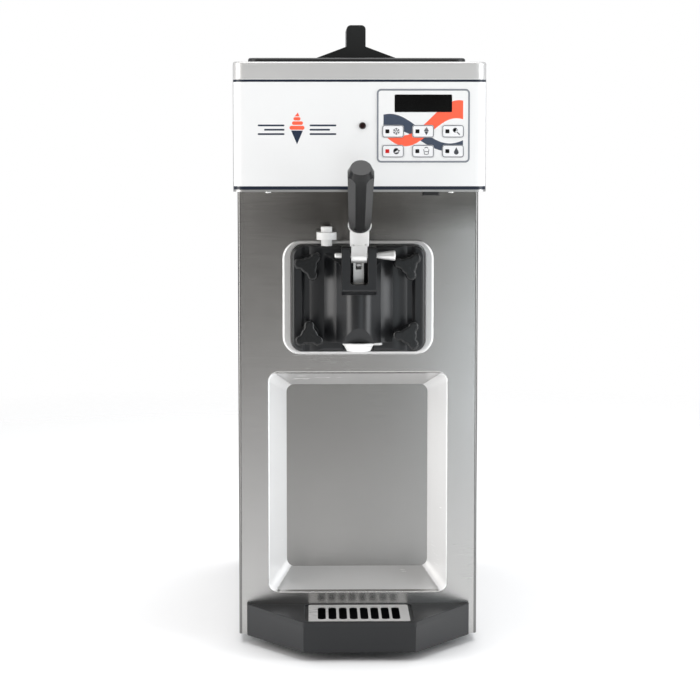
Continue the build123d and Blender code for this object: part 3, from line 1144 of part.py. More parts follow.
with BuildPart() as compressor:
    rod_z(COMPRESSOR_X, COMPRESSOR_Y, COMPRESSOR_RADIUS, COMPRESSOR_FOOT, COMPRESSOR_TOP)
    fillet(compressor.faces().sort_by(Axis.Z)[-1].edges(), 34.0)
    fillet(compressor.faces().sort_by(Axis.Z)[0].edges(), 16.0)
    rod_z(COMPRESSOR_X, COMPRESSOR_Y, COMPRESSOR_RADIUS + 3, 118, 124)
    slab_z(COMPRESSOR_X, COMPRESSOR_Y, 136, 156, 14, COMPRESSOR_FOOT, COMPRESSOR_FOOT + 4)
    for grommet_x in (-54, 54):
        for grommet_y in (-64, 64):
            rod_z(COMPRESSOR_X + grommet_x, COMPRESSOR_Y + grommet_y, 9, FLOOR_TOP, COMPRESSOR_FOOT)
    span((COMPRESSOR_X + 50, COMPRESSOR_Y - 24, 130), (COMPRESSOR_X + 84, COMPRESSOR_Y + 24, 178))
    rod_z(COMPRESSOR_X, COMPRESSOR_Y, COMPRESSOR_RADIUS - 12, COMPRESSOR_FOOT + 40, 150, mode=Mode.SUBTRACT)
save(compressor.part, "compressor")

# condenser: two end plates, a stack of fins and the tubes that run through them
FIN_PITCH = 9.0
FIN_COUNT = 26
with BuildPart() as condenser:
    for plate_side in (-1, 1):
        low, high = ordered(plate_side * COIL_HALF, plate_side * (COIL_HALF - 2))
        span((low, COIL_FRONT, FLOOR_TOP), (high, COIL_BACK, COIL_TOP))
    for fin in range(FIN_COUNT):
        fin_x = (fin - (FIN_COUNT - 1) / 2) * FIN_PITCH
        span((fin_x - 0.5, COIL_FRONT + 4, COIL_BOTTOM), (fin_x + 0.5, COIL_BACK - 4, COIL_TOP - 6))
    for tube_row in range(9):
        for tube_y in (COIL_FRONT + 16, COIL_BACK - 16):
            rod_x(tube_y, COIL_BOTTOM + 20 + tube_row * 32, 4.5, -COIL_HALF - 6, COIL_HALF + 6)
save(condenser.part, "condenser")

with BuildPart() as fan_shroud:
    shroud_middle = (COIL_TOP + FLOOR_TOP) / 2
    slab_y(0, shroud_middle, 2 * COIL_HALF, COIL_TOP - FLOOR_TOP, 4.0, COIL_FRONT, FAN_FRONT)
    slab_y(0, shroud_middle, 2 * COIL_HALF - 4, COIL_TOP - FLOOR_TOP - 4, 3.0, COIL_FRONT, FAN_FRONT + 2,
           mode=Mode.SUBTRACT)
    rod_y(FAN_X, FAN_Z, FAN_RADIUS + 4, FAN_FRONT + 3, FAN_FRONT - 10)
    rod_y(FAN_X, FAN_Z, FAN_RADIUS + 2, FAN_FRONT + 3, FAN_FRONT - 10, mode=Mode.SUBTRACT)
    # motor cup on four arms in front of the ring
    for arm_angle in (45, 135, 225, 315):
        with BuildSketch(upright(FAN_FRONT - 4)):
            with Locations((FAN_X, FAN_Z)):
                with PolarLocations((FAN_RADIUS + 30) / 2, 1, start_angle=arm_angle):
                    Rectangle(FAN_RADIUS - 22, 8)
        extrude(amount=6)
    rod_y(FAN_X, FAN_Z, 32, FAN_FRONT - 4, FAN_FRONT - 42)
    rod_y(FAN_X, FAN_Z, 4 + RUNNING, FAN_FRONT - 4, FAN_FRONT - 24, mode=Mode.SUBTRACT)
save(fan_shroud.part, "fan_shroud")

with BuildPart() as fan_blades:
    rod_y(FAN_X, FAN_Z, 24, FAN_BACK, FAN_FRONT + 3)
    for blade in range(5):
        blade_plane = Plane(origin=(FAN_X, (FAN_FRONT + FAN_BACK) / 2, FAN_Z), x_dir=(0, 1, 0),
                            z_dir=Vector(1, 0, 0).rotate(Axis.Y, 72.0 * blade))
        with BuildSketch(blade_plane.offset(20).rotated((0, 0, 36))):
            Rectangle(3, 42)
        with BuildSketch(blade_plane.offset(FAN_RADIUS - 4).rotated((0, 0, 22))):
            Rectangle(2.4, 50)
        loft()
    rod_y(FAN_X, FAN_Z, 4, FAN_FRONT + 3, FAN_FRONT - 22)
save(fan_blades.part, "fan_blades")

# copper lines: compressor to condenser, condenser to evaporator, evaporator to compressor
PIPE_RADIUS = 4.0


def pipe(points, bend):
    """Round pipe along straight runs joined by bends."""
    with BuildLine() as route:
        FilletPolyline(*points, radius=bend)
    start = route.line @ 0
    with BuildSketch(Plane(origin=start, z_dir=route.line % 0)) as section:
        Circle(PIPE_RADIUS)
    return sweep(section.sketch, path=route.line, mode=Mode.PRIVATE)


with BuildPart() as refrigerant_pipes:
    add(pipe([
        (COMPRESSOR_X - 30, COMPRESSOR_Y + 30, COMPRESSOR_TOP - 16),
        (COMPRESSOR_X - 30, COMPRESSOR_Y + 30, 250),
        (-143, COMPRESSOR_Y + 60, 250), (-143, COIL_FRONT + 16, 250), (-143, COIL_FRONT + 16, 300),
    ], 14.0))
    add(pipe([
        (143, COIL_FRONT + 16, 60), (143, behind(400), 60), (143, behind(400), 290),
        (124, behind(364), 330), (124, behind(364), 430), (96, behind(330), 470), (96, behind(80), 470),
    ], 12.0))
    add(pipe([
        (COMPRESSOR_X - 20, COMPRESSOR_Y - 40, COMPRESSOR_TOP - 16),
        (COMPRESSOR_X - 20, COMPRESSOR_Y - 40, 300),
        (COMPRESSOR_X - 54, COMPRESSOR_Y - 40, 340), (COMPRESSOR_X - 54, COMPRESSOR_Y - 202, 340),
        (COMPRESSOR_X - 54, COMPRESSOR_Y - 202, 420),
    ], 12.0))
save(refrigerant_pipes.part, "refrigerant_pipes")

# ---------------------------------------------------------------- drip tray and grid
TRAY_BACK = FRONT_Y - GAP
TRAY_HALF = 149.35
TRAY_STRAIGHT = 8.0
TRAY_FRONT_HALF = 73.0
TRAY_REACH = 118.0
TRAY_FOOT_REACH = 108.0
TRAY_TOP = 54.5
TRAY_BOTTOM = 12.0
TRAY_WALL = 3.0
RIM_HEIGHT = 1.8
TRAY_FLOOR = TRAY_TOP - RIM_HEIGHT
GRID_SIZE = (133.0, 97.0)
GRID_AHEAD = 53.5
GRID_TOP = 52.2
GRID_SHEET = 1.5
WELL_WIDTH = 143.0
WELL_DEPTH = 101.0
GRID_SLOT = (73.0, 10.5)
GRID_SLOTS = 8
SLOT_PITCH = 14.0


def tray_plan(level, half, front_half, reach):
    """Half-hexagon plan at one height: short straight sides, then two long slanted ones."""
    with BuildSketch(Plane.XY.offset(level)) as plan:
        with BuildLine():
            Polyline(
                (-half, TRAY_BACK), (half, TRAY_BACK), (half, ahead(TRAY_STRAIGHT)),
                (front_half, ahead(reach)), (-front_half, ahead(reach)),
                (-half, ahead(TRAY_STRAIGHT)), close=True)
        make_face()
    return plan.sketch


TRAY_SHOULDER = TRAY_TOP - 6.0
with BuildPart() as drip_tray:
    foot = tray_plan(TRAY_BOTTOM, TRAY_HALF, TRAY_FRONT_HALF, TRAY_FOOT_REACH)
    rim = tray_plan(TRAY_SHOULDER, TRAY_HALF, TRAY_FRONT_HALF, TRAY_REACH)
    add(Solid.make_loft([foot.faces()[0].outer_wire(), rim.faces()[0].outer_wire()], ruled=True))
    extrude(rim, amount=TRAY_TOP - TRAY_SHOULDER)
    front_corners = drip_tray.edges().filter_by(Axis.Z)
    fillet(front_corners.filter_by_position(Axis.Y, ahead(TRAY_REACH + 1), ahead(TRAY_STRAIGHT - 1)), 5.0)
    # hollow underneath, with the well standing inside as a box of its own
    inner_foot = tray_plan(TRAY_BOTTOM, TRAY_HALF - 4.5, TRAY_FRONT_HALF - 2.5, TRAY_FOOT_REACH - 4)
    inner_top = tray_plan(TRAY_FLOOR - TRAY_WALL, TRAY_HALF - 4.5, TRAY_FRONT_HALF - 2.5, TRAY_REACH - 4)
    inner_wires = [inner_foot.faces()[0].outer_wire(), inner_top.faces()[0].outer_wire()]
    hollow = Solid.make_loft(inner_wires, ruled=True)
    behind_wall = Box(2 * TRAY_HALF, TRAY_REACH, TRAY_TOP, mode=Mode.PRIVATE)
    add(hollow & behind_wall.moved(Location((0, TRAY_BACK - TRAY_WALL - TRAY_REACH / 2, TRAY_TOP / 2))),
        mode=Mode.SUBTRACT)
    slab_z(0, ahead(GRID_AHEAD), WELL_WIDTH + 6, WELL_DEPTH + 4, 8.0, TRAY_BOTTOM, TRAY_FLOOR - TRAY_WALL)
    # the top is let down inside a low rim
    sunk = tray_plan(TRAY_FLOOR, TRAY_HALF - 4.0, TRAY_FRONT_HALF - 1.5, TRAY_REACH - 3.2)
    extrude(sunk, amount=RIM_HEIGHT, mode=Mode.SUBTRACT)
    # well under the grid, with a step all round that carries it
    slab_z(0, ahead(GRID_AHEAD), WELL_WIDTH, WELL_DEPTH, 6.0, GRID_TOP - GRID_SHEET - GAP, TRAY_TOP,
           mode=Mode.SUBTRACT)
    slab_z(0, ahead(GRID_AHEAD), WELL_WIDTH - 12, WELL_DEPTH - 12, 5.0, TRAY_BOTTOM + TRAY_WALL, TRAY_TOP,
           mode=Mode.SUBTRACT)
    # hooks that lodge in the front panel's slots
    for side in (-1, 1):
        span((side * TAB_X - TAB_WIDTH / 2 + 1, TRAY_BACK, TAB_Z - TAB_HEIGHT / 2),
             (side * TAB_X + TAB_WIDTH / 2 - 1, FRONT_Y + 9, TAB_Z + TAB_HEIGHT / 2))
save(drip_tray.part, "drip_tray")

with BuildPart() as drip_grid:
    slab_z(0, ahead(GRID_AHEAD), *GRID_SIZE, 4.0, GRID_TOP - GRID_SHEET, GRID_TOP)
    with BuildSketch(Plane.XY.offset(GRID_TOP - GRID_SHEET)):
        with Locations((0, ahead(GRID_AHEAD))):
            with GridLocations(SLOT_PITCH, 1, GRID_SLOTS, 1):
                SlotOverall(*GRID_SLOT, rotation=90)
    extrude(amount=GRID_SHEET, mode=Mode.SUBTRACT)
save(drip_grid.part, "drip_grid")

# ---------------------------------------------------------------- fasteners
HEAD_RADIUS = 4.5
HEAD_HEIGHT = 2.0


def dome_head(plane):
    """Domed screw head standing on a plane."""
    with BuildPart(mode=Mode.PRIVATE) as head:
        with BuildSketch(plane):
            Circle(HEAD_RADIUS)
        extrude(amount=HEAD_HEIGHT)
        fillet(head.faces().sort_by(Axis(plane.origin, plane.z_dir))[-1].edges(), 1.5)
    return head.part


with BuildPart() as panel_screws:
    for side in (-1, 1):
        add(dome_head(Plane(origin=(side * 117, ahead(96), HOOD_BOTTOM), x_dir=(1, 0, 0), z_dir=(0, 0, -1))))
        for screw_y in (behind(120), behind(420)):
            for screw_z in (40.0, 700.0):
                side_spot = (side * HALF, screw_y, screw_z)
                add(dome_head(Plane(origin=side_spot, x_dir=(0, 1, 0), z_dir=(side, 0, 0))))
        for screw_z in (30.0, 400.0, 735.0):
            add(dome_head(Plane(origin=(side * 148, REAR_OUTER, screw_z), x_dir=(1, 0, 0), z_dir=(0, 1, 0))))
save(panel_screws.part, "panel_screws")
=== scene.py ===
import json
import math

import bmesh
import bpy
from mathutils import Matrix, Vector


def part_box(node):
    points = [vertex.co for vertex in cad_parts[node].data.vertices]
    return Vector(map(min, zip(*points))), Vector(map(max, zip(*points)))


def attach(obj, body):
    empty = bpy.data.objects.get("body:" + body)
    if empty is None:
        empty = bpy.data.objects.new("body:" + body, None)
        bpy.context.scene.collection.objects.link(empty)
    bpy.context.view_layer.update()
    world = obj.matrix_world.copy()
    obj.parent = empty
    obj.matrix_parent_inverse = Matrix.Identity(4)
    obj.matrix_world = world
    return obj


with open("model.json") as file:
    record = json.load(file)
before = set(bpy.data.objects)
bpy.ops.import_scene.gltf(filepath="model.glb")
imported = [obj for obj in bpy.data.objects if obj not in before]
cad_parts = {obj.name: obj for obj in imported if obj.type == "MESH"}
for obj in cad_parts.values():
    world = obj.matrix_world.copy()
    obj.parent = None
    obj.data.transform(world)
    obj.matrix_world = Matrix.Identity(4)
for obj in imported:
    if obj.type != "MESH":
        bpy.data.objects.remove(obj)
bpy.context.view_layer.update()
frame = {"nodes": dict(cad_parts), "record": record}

NODES = frame["nodes"]
MM = 0.001
scene = bpy.context.scene


# ---------------------------------------------------------------- node helpers
def shader(name):
    """New node material and its Principled shader."""
    mat = bpy.data.materials.new(name)
    mat.use_nodes = True
    tree = mat.node_tree
    return mat, tree, tree.nodes["Principled BSDF"]


def place(tree, stretch):
    """Coordinates in the object's own frame, in metres, stretched along each axis."""
    coords = tree.nodes.new("ShaderNodeTexCoord")
    mapping = tree.nodes.new("ShaderNodeMapping")
    mapping.inputs["Scale"].default_value = stretch
    tree.links.new(coords.outputs["Object"], mapping.inputs["Vector"])
    return mapping.outputs["Vector"]


def noise(tree, where, scale=1.0, detail=2.0, roughness=0.5):
    """Fractal noise, 0 to 1."""
    node = tree.nodes.new("ShaderNodeTexNoise")
    node.inputs["Scale"].default_value = scale
    node.inputs["Detail"].default_value = detail
    node.inputs["Roughness"].default_value = roughness
    tree.links.new(where, node.inputs["Vector"])
    return node.outputs["Fac"]


def remap(tree, value, low, high, start=0.3, end=0.7):
    """Value from start..end taken to low..high."""
    node = tree.nodes.new("ShaderNodeMapRange")
    node.inputs["From Min"].default_value = start
    node.inputs["From Max"].default_value = end
    node.inputs["To Min"].default_value = low
    node.inputs["To Max"].default_value = high
    tree.links.new(value, node.inputs["Value"])
    return node.outputs["Result"]


def rise(tree, value, start, end):
    """0 up to start, rising to 1 at end."""
    return remap(tree, value, 0.0, 1.0, start, end)


def maths(tree, operation, first, second=None, third=None):
    """One arithmetic step, where an input may be a socket or a number."""
    node = tree.nodes.new("ShaderNodeMath")
    node.operation = operation
    for socket, value in zip(node.inputs, (first, second, third)):
        if value is None:
            continue
        if isinstance(value, (int, float)):
            socket.default_value = value
        else:
            tree.links.new(value, socket)
    return node.outputs[0]


def blend_colour(tree, share, first, second):
    """Colour first where share is 0 and second where it is 1."""
    node = tree.nodes.new("ShaderNodeMix")
    node.data_type = "RGBA"
    tree.links.new(share, node.inputs[0])
    for socket, value in ((node.inputs[6], first), (node.inputs[7], second)):
        if isinstance(value, tuple):
            socket.default_value = (*value, 1.0)
        else:
            tree.links.new(value, socket)
    return node.outputs[2]


def axis_value(tree, axis):
    """One coordinate of the shaded point, in metres."""
    coords = tree.nodes.new("ShaderNodeTexCoord")
    parts = tree.nodes.new("ShaderNodeSeparateXYZ")
    tree.links.new(coords.outputs["Object"], parts.inputs[0])
    return parts.outputs[axis]


def facing(tree, axis):
    """How far the surface leans along one axis: 0 for a face square to it, 1 for one that looks along it."""
    coords = tree.nodes.new("ShaderNodeTexCoord")
    parts = tree.nodes.new("ShaderNodeSeparateXYZ")
    tree.links.new(coords.outputs["Normal"], parts.inputs[0])
    return maths(tree, "ABSOLUTE", parts.outputs[axis])


def inside_band(tree, value, low, high):
    """1 where the value lies between low and high."""
    above = maths(tree, "GREATER_THAN", value, low)
    return maths(tree, "MULTIPLY", above, maths(tree, "LESS_THAN", value, high))


def bump(tree, surface, height, strength, distance, edge=0.0):
    """Relief from a height socket, distance in metres, with sharp edges rounded by the edge radius."""
    node = tree.nodes.new("ShaderNodeBump")
    if edge:
        bevel = tree.nodes.new("ShaderNodeBevel")
        bevel.samples = 6
        bevel.inputs["Radius"].default_value = edge
        tree.links.new(bevel.outputs[0], node.inputs["Normal"])
    node.inputs["Strength"].default_value = strength
    node.inputs["Distance"].default_value = distance
    tree.links.new(height, node.inputs["Height"])
    tree.links.new(node.outputs["Normal"], surface.inputs["Normal"])


def shade(colour, factor):
    """Colour made lighter or darker."""
    return tuple(min(1.0, c * factor) for c in colour)


# ---------------------------------------------------------------- materials
# brushed sheets: stretch of the handling marks and depth of the lines
HANDLING = (7.0, 7.0, 5.0)
LINE_DEPTH = 0.00004
# painted reflection and shade on the front sheet, as factors on its colour
LOW_PAINTED_REFLECTION = (0.86, 0.86, 0.86)
HIGH_PAINTED_REFLECTION = (0.60, 0.59, 0.575)
MIDDLE_PAINTED_SHADOW = (0.25, 0.242, 0.23)
BROW_PAINTED_SHADOW = (0.27, 0.262, 0.25)
BAY_PAINTED_SHADE = (0.62, 0.62, 0.615)
CORNER_PAINTED_SHADE = (0.30, 0.30, 0.30)
# where each painted tone begins and ends, in metres
REFLECTION_RISE = (0.30, 0.62)
SHADOW_RISE = (0.528, 0.572)
SHADOW_SIDE = (0.055, 0.145)
BROW_SHADOW_RISE = (0.555, 0.592)
BROW_SHADOW_SIDE = (0.02, 0.12)
CORNER_START = 0.1562
CORNER_DEPTH = 0.0045
# the front sheet's relief, in metres
BEAD_REACH = 0.0080
PANEL_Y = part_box("front_panel")[0].y + BEAD_REACH
PRESSED_Y = PANEL_Y + 0.006
PRESSED_HALF = 0.135


def brushed(tree, surface, lines, rough, spread, relief):
    """Roughness and relief of a brushed sheet, with faint handling marks."""
    marks = noise(tree, place(tree, HANDLING), 1.0, 3.0, 0.6)
    rough_lines = remap(tree, lines, rough - spread, rough + spread)
    rough_all = maths(tree, "ADD", rough_lines, remap(tree, marks, -0.025, 0.025))
    tree.links.new(rough_all, surface.inputs["Roughness"])
    bump(tree, surface, lines, relief, LINE_DEPTH)


def steel(name, colour, rough, grain=(22.0, 22.0, 1500.0), tone=0.022, spread=0.02, relief=0.05,
          metallic=1.0, level=1.0):
    """Brushed sheet steel with fine lines and faint handling marks, its upward faces darkened by a factor as
    painted shade.
    """
    mat, tree, surface = shader(name)
    lines = noise(tree, place(tree, grain), 1.0, 2.0, 0.5)
    tint = blend_colour(tree, lines, shade(colour, 1 - tone), shade(colour, 1 + tone))
    # painted shade: faces that look up are darkened by the level factor
    if level < 1.0:
        painted_top_shade = rise(tree, facing(tree, 2), 0.5, 0.9)
        tint = blend_colour(tree, painted_top_shade, tint, shade(colour, level))
    tree.links.new(tint, surface.inputs["Base Color"])
    surface.inputs["Metallic"].default_value = metallic
    brushed(tree, surface, lines, rough, spread, relief)
    return mat


def painted_reflection_and_shade(tree, height, across, depth, inner):
    """Painted reflection and shade on the front sheet: lighter low down and darker towards the hood, a
    painted shadow under its middle and on the right under its brow, painted shade in the bay and on its side
    corners.
    """
    # painted reflection: lighter low down, darker towards the hood
    tone = blend_colour(tree, rise(tree, height, *REFLECTION_RISE), LOW_PAINTED_REFLECTION, HIGH_PAINTED_REFLECTION)
    # painted shadow under the middle of the hood
    off_centre = maths(tree, "ABSOLUTE", across)
    middle = maths(tree, "SUBTRACT", 1.0, rise(tree, off_centre, *SHADOW_SIDE))
    shadow = maths(tree, "MULTIPLY", middle, rise(tree, height, *SHADOW_RISE))
    tone = blend_colour(tree, shadow, tone, MIDDLE_PAINTED_SHADOW)
    # painted shadow under the hood's brow, on the right
    right = rise(tree, across, *BROW_SHADOW_SIDE)
    brow_shadow = maths(tree, "MULTIPLY", right, rise(tree, height, *BROW_SHADOW_RISE))
    tone = blend_colour(tree, brow_shadow, tone, BROW_PAINTED_SHADOW)
    # painted shade in the bay
    tone = blend_colour(tree, inner, tone, BAY_PAINTED_SHADE)
    # painted shade on the sheet's side corners
    at_edge = maths(tree, "GREATER_THAN", off_centre, CORNER_START)
    corner_shade = maths(tree, "MULTIPLY", at_edge, maths(tree, "LESS_THAN", depth, PANEL_Y + CORNER_DEPTH))
    return blend_colour(tree, corner_shade, tone, CORNER_PAINTED_SHADE)


def panel_steel(name, colour, painted_highlight, rough):
    """Brushed sheet for the front, with painted reflection and shade over it and a painted highlight on the
    bay's sloped flanks, its ledges and the bead.
    """
    mat, tree, surface = shader(name)
    lines = noise(tree, place(tree, (22.0, 22.0, 1100.0)), 1.0, 2.0, 0.5)
    height, across, depth = axis_value(tree, 2), axis_value(tree, 0), axis_value(tree, 1)
    tint = blend_colour(tree, lines, shade(colour, 0.978), shade(colour, 1.022))
    inner = maths(tree, "GREATER_THAN", depth, PRESSED_Y)
    # painted reflection and shade multiplied onto the brushed tint
    flat = tree.nodes.new("ShaderNodeMix")
    flat.data_type = "RGBA"
    flat.blend_type = "MULTIPLY"
    flat.inputs[0].default_value = 1.0
    tree.links.new(tint, flat.inputs[6])
    tree.links.new(painted_reflection_and_shade(tree, height, across, depth, inner), flat.inputs[7])
    # share of the painted highlight: sloped flanks, the bay's ledges and the bead
    sloped = rise(tree, facing(tree, 0), 0.12, 0.40)
    ledge = maths(tree, "MULTIPLY", remap(tree, facing(tree, 2), 0.0, 0.55, 0.12, 0.50), inner)
    bead = maths(tree, "MULTIPLY", maths(tree, "LESS_THAN", depth, PANEL_Y - 0.0006), 0.55)
    side = maths(tree, "MAXIMUM", maths(tree, "MAXIMUM", sloped, ledge), bead)
    side = maths(tree, "MULTIPLY", side, inside_band(tree, across, -PRESSED_HALF, PRESSED_HALF))
    tree.links.new(blend_colour(tree, side, flat.outputs[2], painted_highlight), surface.inputs["Base Color"])
    # less metallic where the painted highlight lies
    metal = maths(tree, "SUBTRACT", 1.0, maths(tree, "MULTIPLY", side, 0.85))
    tree.links.new(metal, surface.inputs["Metallic"])
    # reflections drawn out upright, across the grain
    surface.inputs["Anisotropic"].default_value = 0.7
    surface.inputs["Anisotropic Rotation"].default_value = 0.25
    tangent = tree.nodes.new("ShaderNodeTangent")
    tangent.direction_type = "RADIAL"
    tangent.axis = "Z"
    tree.links.new(tangent.outputs[0], surface.inputs["Tangent"])
    brushed(tree, surface, lines, rough, 0.02, 0.012)
    return mat


def plastic(name, colour, rough, grain=1400.0, relief=0.12, depth=0.00005, tone=0.10, coat=0.0, gloss=0.5,
            edge=0.0006):
    """Moulded plastic: fine texture, slight tone drift and a little unevenness in its gloss."""
    mat, tree, surface = shader(name)
    texture = noise(tree, place(tree, (grain, grain, grain)), 1.0, 2.0, 0.55)
    drift = noise(tree, place(tree, (16.0, 16.0, 16.0)), 1.0, 3.0, 0.55)
    tint = blend_colour(tree, drift, shade(colour, 1 - tone), shade(colour, 1 + tone))
    tree.links.new(tint, surface.inputs["Base Color"])
    fine = remap(tree, texture, rough - 0.03, rough + 0.03)
    uneven = maths(tree, "ADD", fine, remap(tree, drift, -0.03, 0.03))
    tree.links.new(uneven, surface.inputs["Roughness"])
    surface.inputs["Specular IOR Level"].default_value = gloss
    surface.inputs["Coat Weight"].default_value = coat
    surface.inputs["Coat Roughness"].default_value = 0.12
    bump(tree, surface, texture, relief, depth, edge)
    return mat


def polished(name, colour, rough):
    """Turned or polished metal with fine turning marks."""
    mat, tree, surface = shader(name)
    marks = noise(tree, place(tree, (260.0, 260.0, 260.0)), 1.0, 3.0, 0.6)
    tree.links.new(blend_colour(tree, marks, shade(colour, 0.95), colour), surface.inputs["Base Color"])
    tree.links.new(remap(tree, marks, rough - 0.03, rough + 0.05), surface.inputs["Roughness"])
    surface.inputs["Metallic"].default_value = 1.0
    bump(tree, surface, marks, 0.1, 0.00002, 0.0004)
    return mat


def rough_metal(name, colour, rough, pattern=70.0, contrast=0.18, metallic=1.0, relief=0.3):
    """Cast, plated or painted metal: mottled tone and a slightly uneven skin."""
    mat, tree, surface = shader(name)
    cells = noise(tree, place(tree, (pattern, pattern, pattern)), 1.0, 4.0, 0.6)
    skin = noise(tree, place(tree, (900.0, 900.0, 900.0)), 1.0, 2.0, 0.5)
    tint = blend_colour(tree, cells, shade(colour, 1 - contrast), shade(colour, 1 + contrast))
    tree.links.new(tint, surface.inputs["Base Color"])
    tree.links.new(remap(tree, cells, rough - 0.08, rough + 0.08), surface.inputs["Roughness"])
    surface.inputs["Metallic"].default_value = metallic
    bump(tree, surface, skin, relief, 0.00006, 0.0005)
    return mat


NAVY = (0.004, 0.009, 0.022)
SLATE = (0.050, 0.066, 0.100)
CORAL = (0.960, 0.125, 0.062)
FILM_WHITE = (0.80, 0.805, 0.805)
STRIPE_TOP = (751.1 * MM, 754.2 * MM)
STRIPE_LOW = (614.0 * MM, 618.6 * MM)
# the keypad's printed field: margins beside, under and over it, and the ribbons' waves in radians per metre
FIELD_MARGINS = (0.009, 0.007, 0.008)
CORAL_WAVES = 46.0
SLATE_WAVES = 44.0


def overlay(name):
    """White printed overlay with a navy stripe along its top and bottom edges."""
    mat, tree, surface = shader(name)
    height = axis_value(tree, 2)
    upper = inside_band(tree, height, *STRIPE_TOP)
    stripes = maths(tree, "ADD", upper, inside_band(tree, height, *STRIPE_LOW))
    drift = noise(tree, place(tree, (9.0, 9.0, 9.0)), 1.0, 2.0, 0.5)
    white = blend_colour(tree, drift, shade(FILM_WHITE, 0.985), shade(FILM_WHITE, 1.01))
    tree.links.new(blend_colour(tree, stripes, white, NAVY), surface.inputs["Base Color"])
    skin = noise(tree, place(tree, (1600.0, 1600.0, 1600.0)), 1.0, 2.0, 0.5)
    tree.links.new(remap(tree, skin, 0.30, 0.38), surface.inputs["Roughness"])
    bump(tree, surface, skin, 0.06, 0.00003)
    return mat


def ribbon(tree, across, height, level, swing, waves, phase, half):
    """1 inside a wavy ribbon that runs across the film and is twice half wide."""
    angle = maths(tree, "MULTIPLY_ADD", across, waves, phase)
    middle = maths(tree, "MULTIPLY_ADD", maths(tree, "SINE", angle), swing, level)
    gap = maths(tree, "ABSOLUTE", maths(tree, "SUBTRACT", height, middle))
    return maths(tree, "LESS_THAN", gap, half)


def keypad_film(name):
    """Printed key film: white, with a slate and a coral ribbon behind the keys."""
    mat, tree, surface = shader(name)
    across, height = axis_value(tree, 0), axis_value(tree, 2)
    low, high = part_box("keypad")
    middle_x, middle_z = (low.x + high.x) / 2, (low.z + high.z) / 2
    beside, under, over = FIELD_MARGINS
    field = maths(tree, "MULTIPLY",
                  inside_band(tree, across, low.x + beside, high.x - beside),
                  inside_band(tree, height, low.z + under, high.z - over))
    taper = remap(tree, across, 0.0045, 0.0125, low.x, high.x)
    taper_back = remap(tree, across, 0.0115, 0.0025, low.x, high.x)
    phase = -CORAL_WAVES * middle_x - 0.45
    coral = ribbon(tree, across, height, middle_z + 0.001, 0.020, CORAL_WAVES, phase, taper)
    phase = -SLATE_WAVES * middle_x + 0.2
    slate = ribbon(tree, across, height, middle_z - 0.011, -0.016, SLATE_WAVES, phase, taper_back)
    tint = blend_colour(tree, maths(tree, "MULTIPLY", slate, field), FILM_WHITE, SLATE)
    tint = blend_colour(tree, maths(tree, "MULTIPLY", coral, field), tint, CORAL)
    tree.links.new(tint, surface.inputs["Base Color"])
    skin = noise(tree, place(tree, (1500.0, 1500.0, 1500.0)), 1.0, 2.0, 0.5)
    tree.links.new(remap(tree, skin, 0.26, 0.34), surface.inputs["Roughness"])
    bump(tree, surface, skin, 0.05, 0.00003)
    return mat


def foam(name, colour):
    """Rigid sprayed foam."""
    mat, tree, surface = shader(name)
    cells = noise(tree, place(tree, (140.0, 140.0, 140.0)), 1.0, 5.0, 0.7)
    tree.links.new(blend_colour(tree, cells, shade(colour, 0.8), colour), surface.inputs["Base Color"])
    surface.inputs["Roughness"].default_value = 0.9
    bump(tree, surface, cells, 0.6, 0.0006)
    return mat


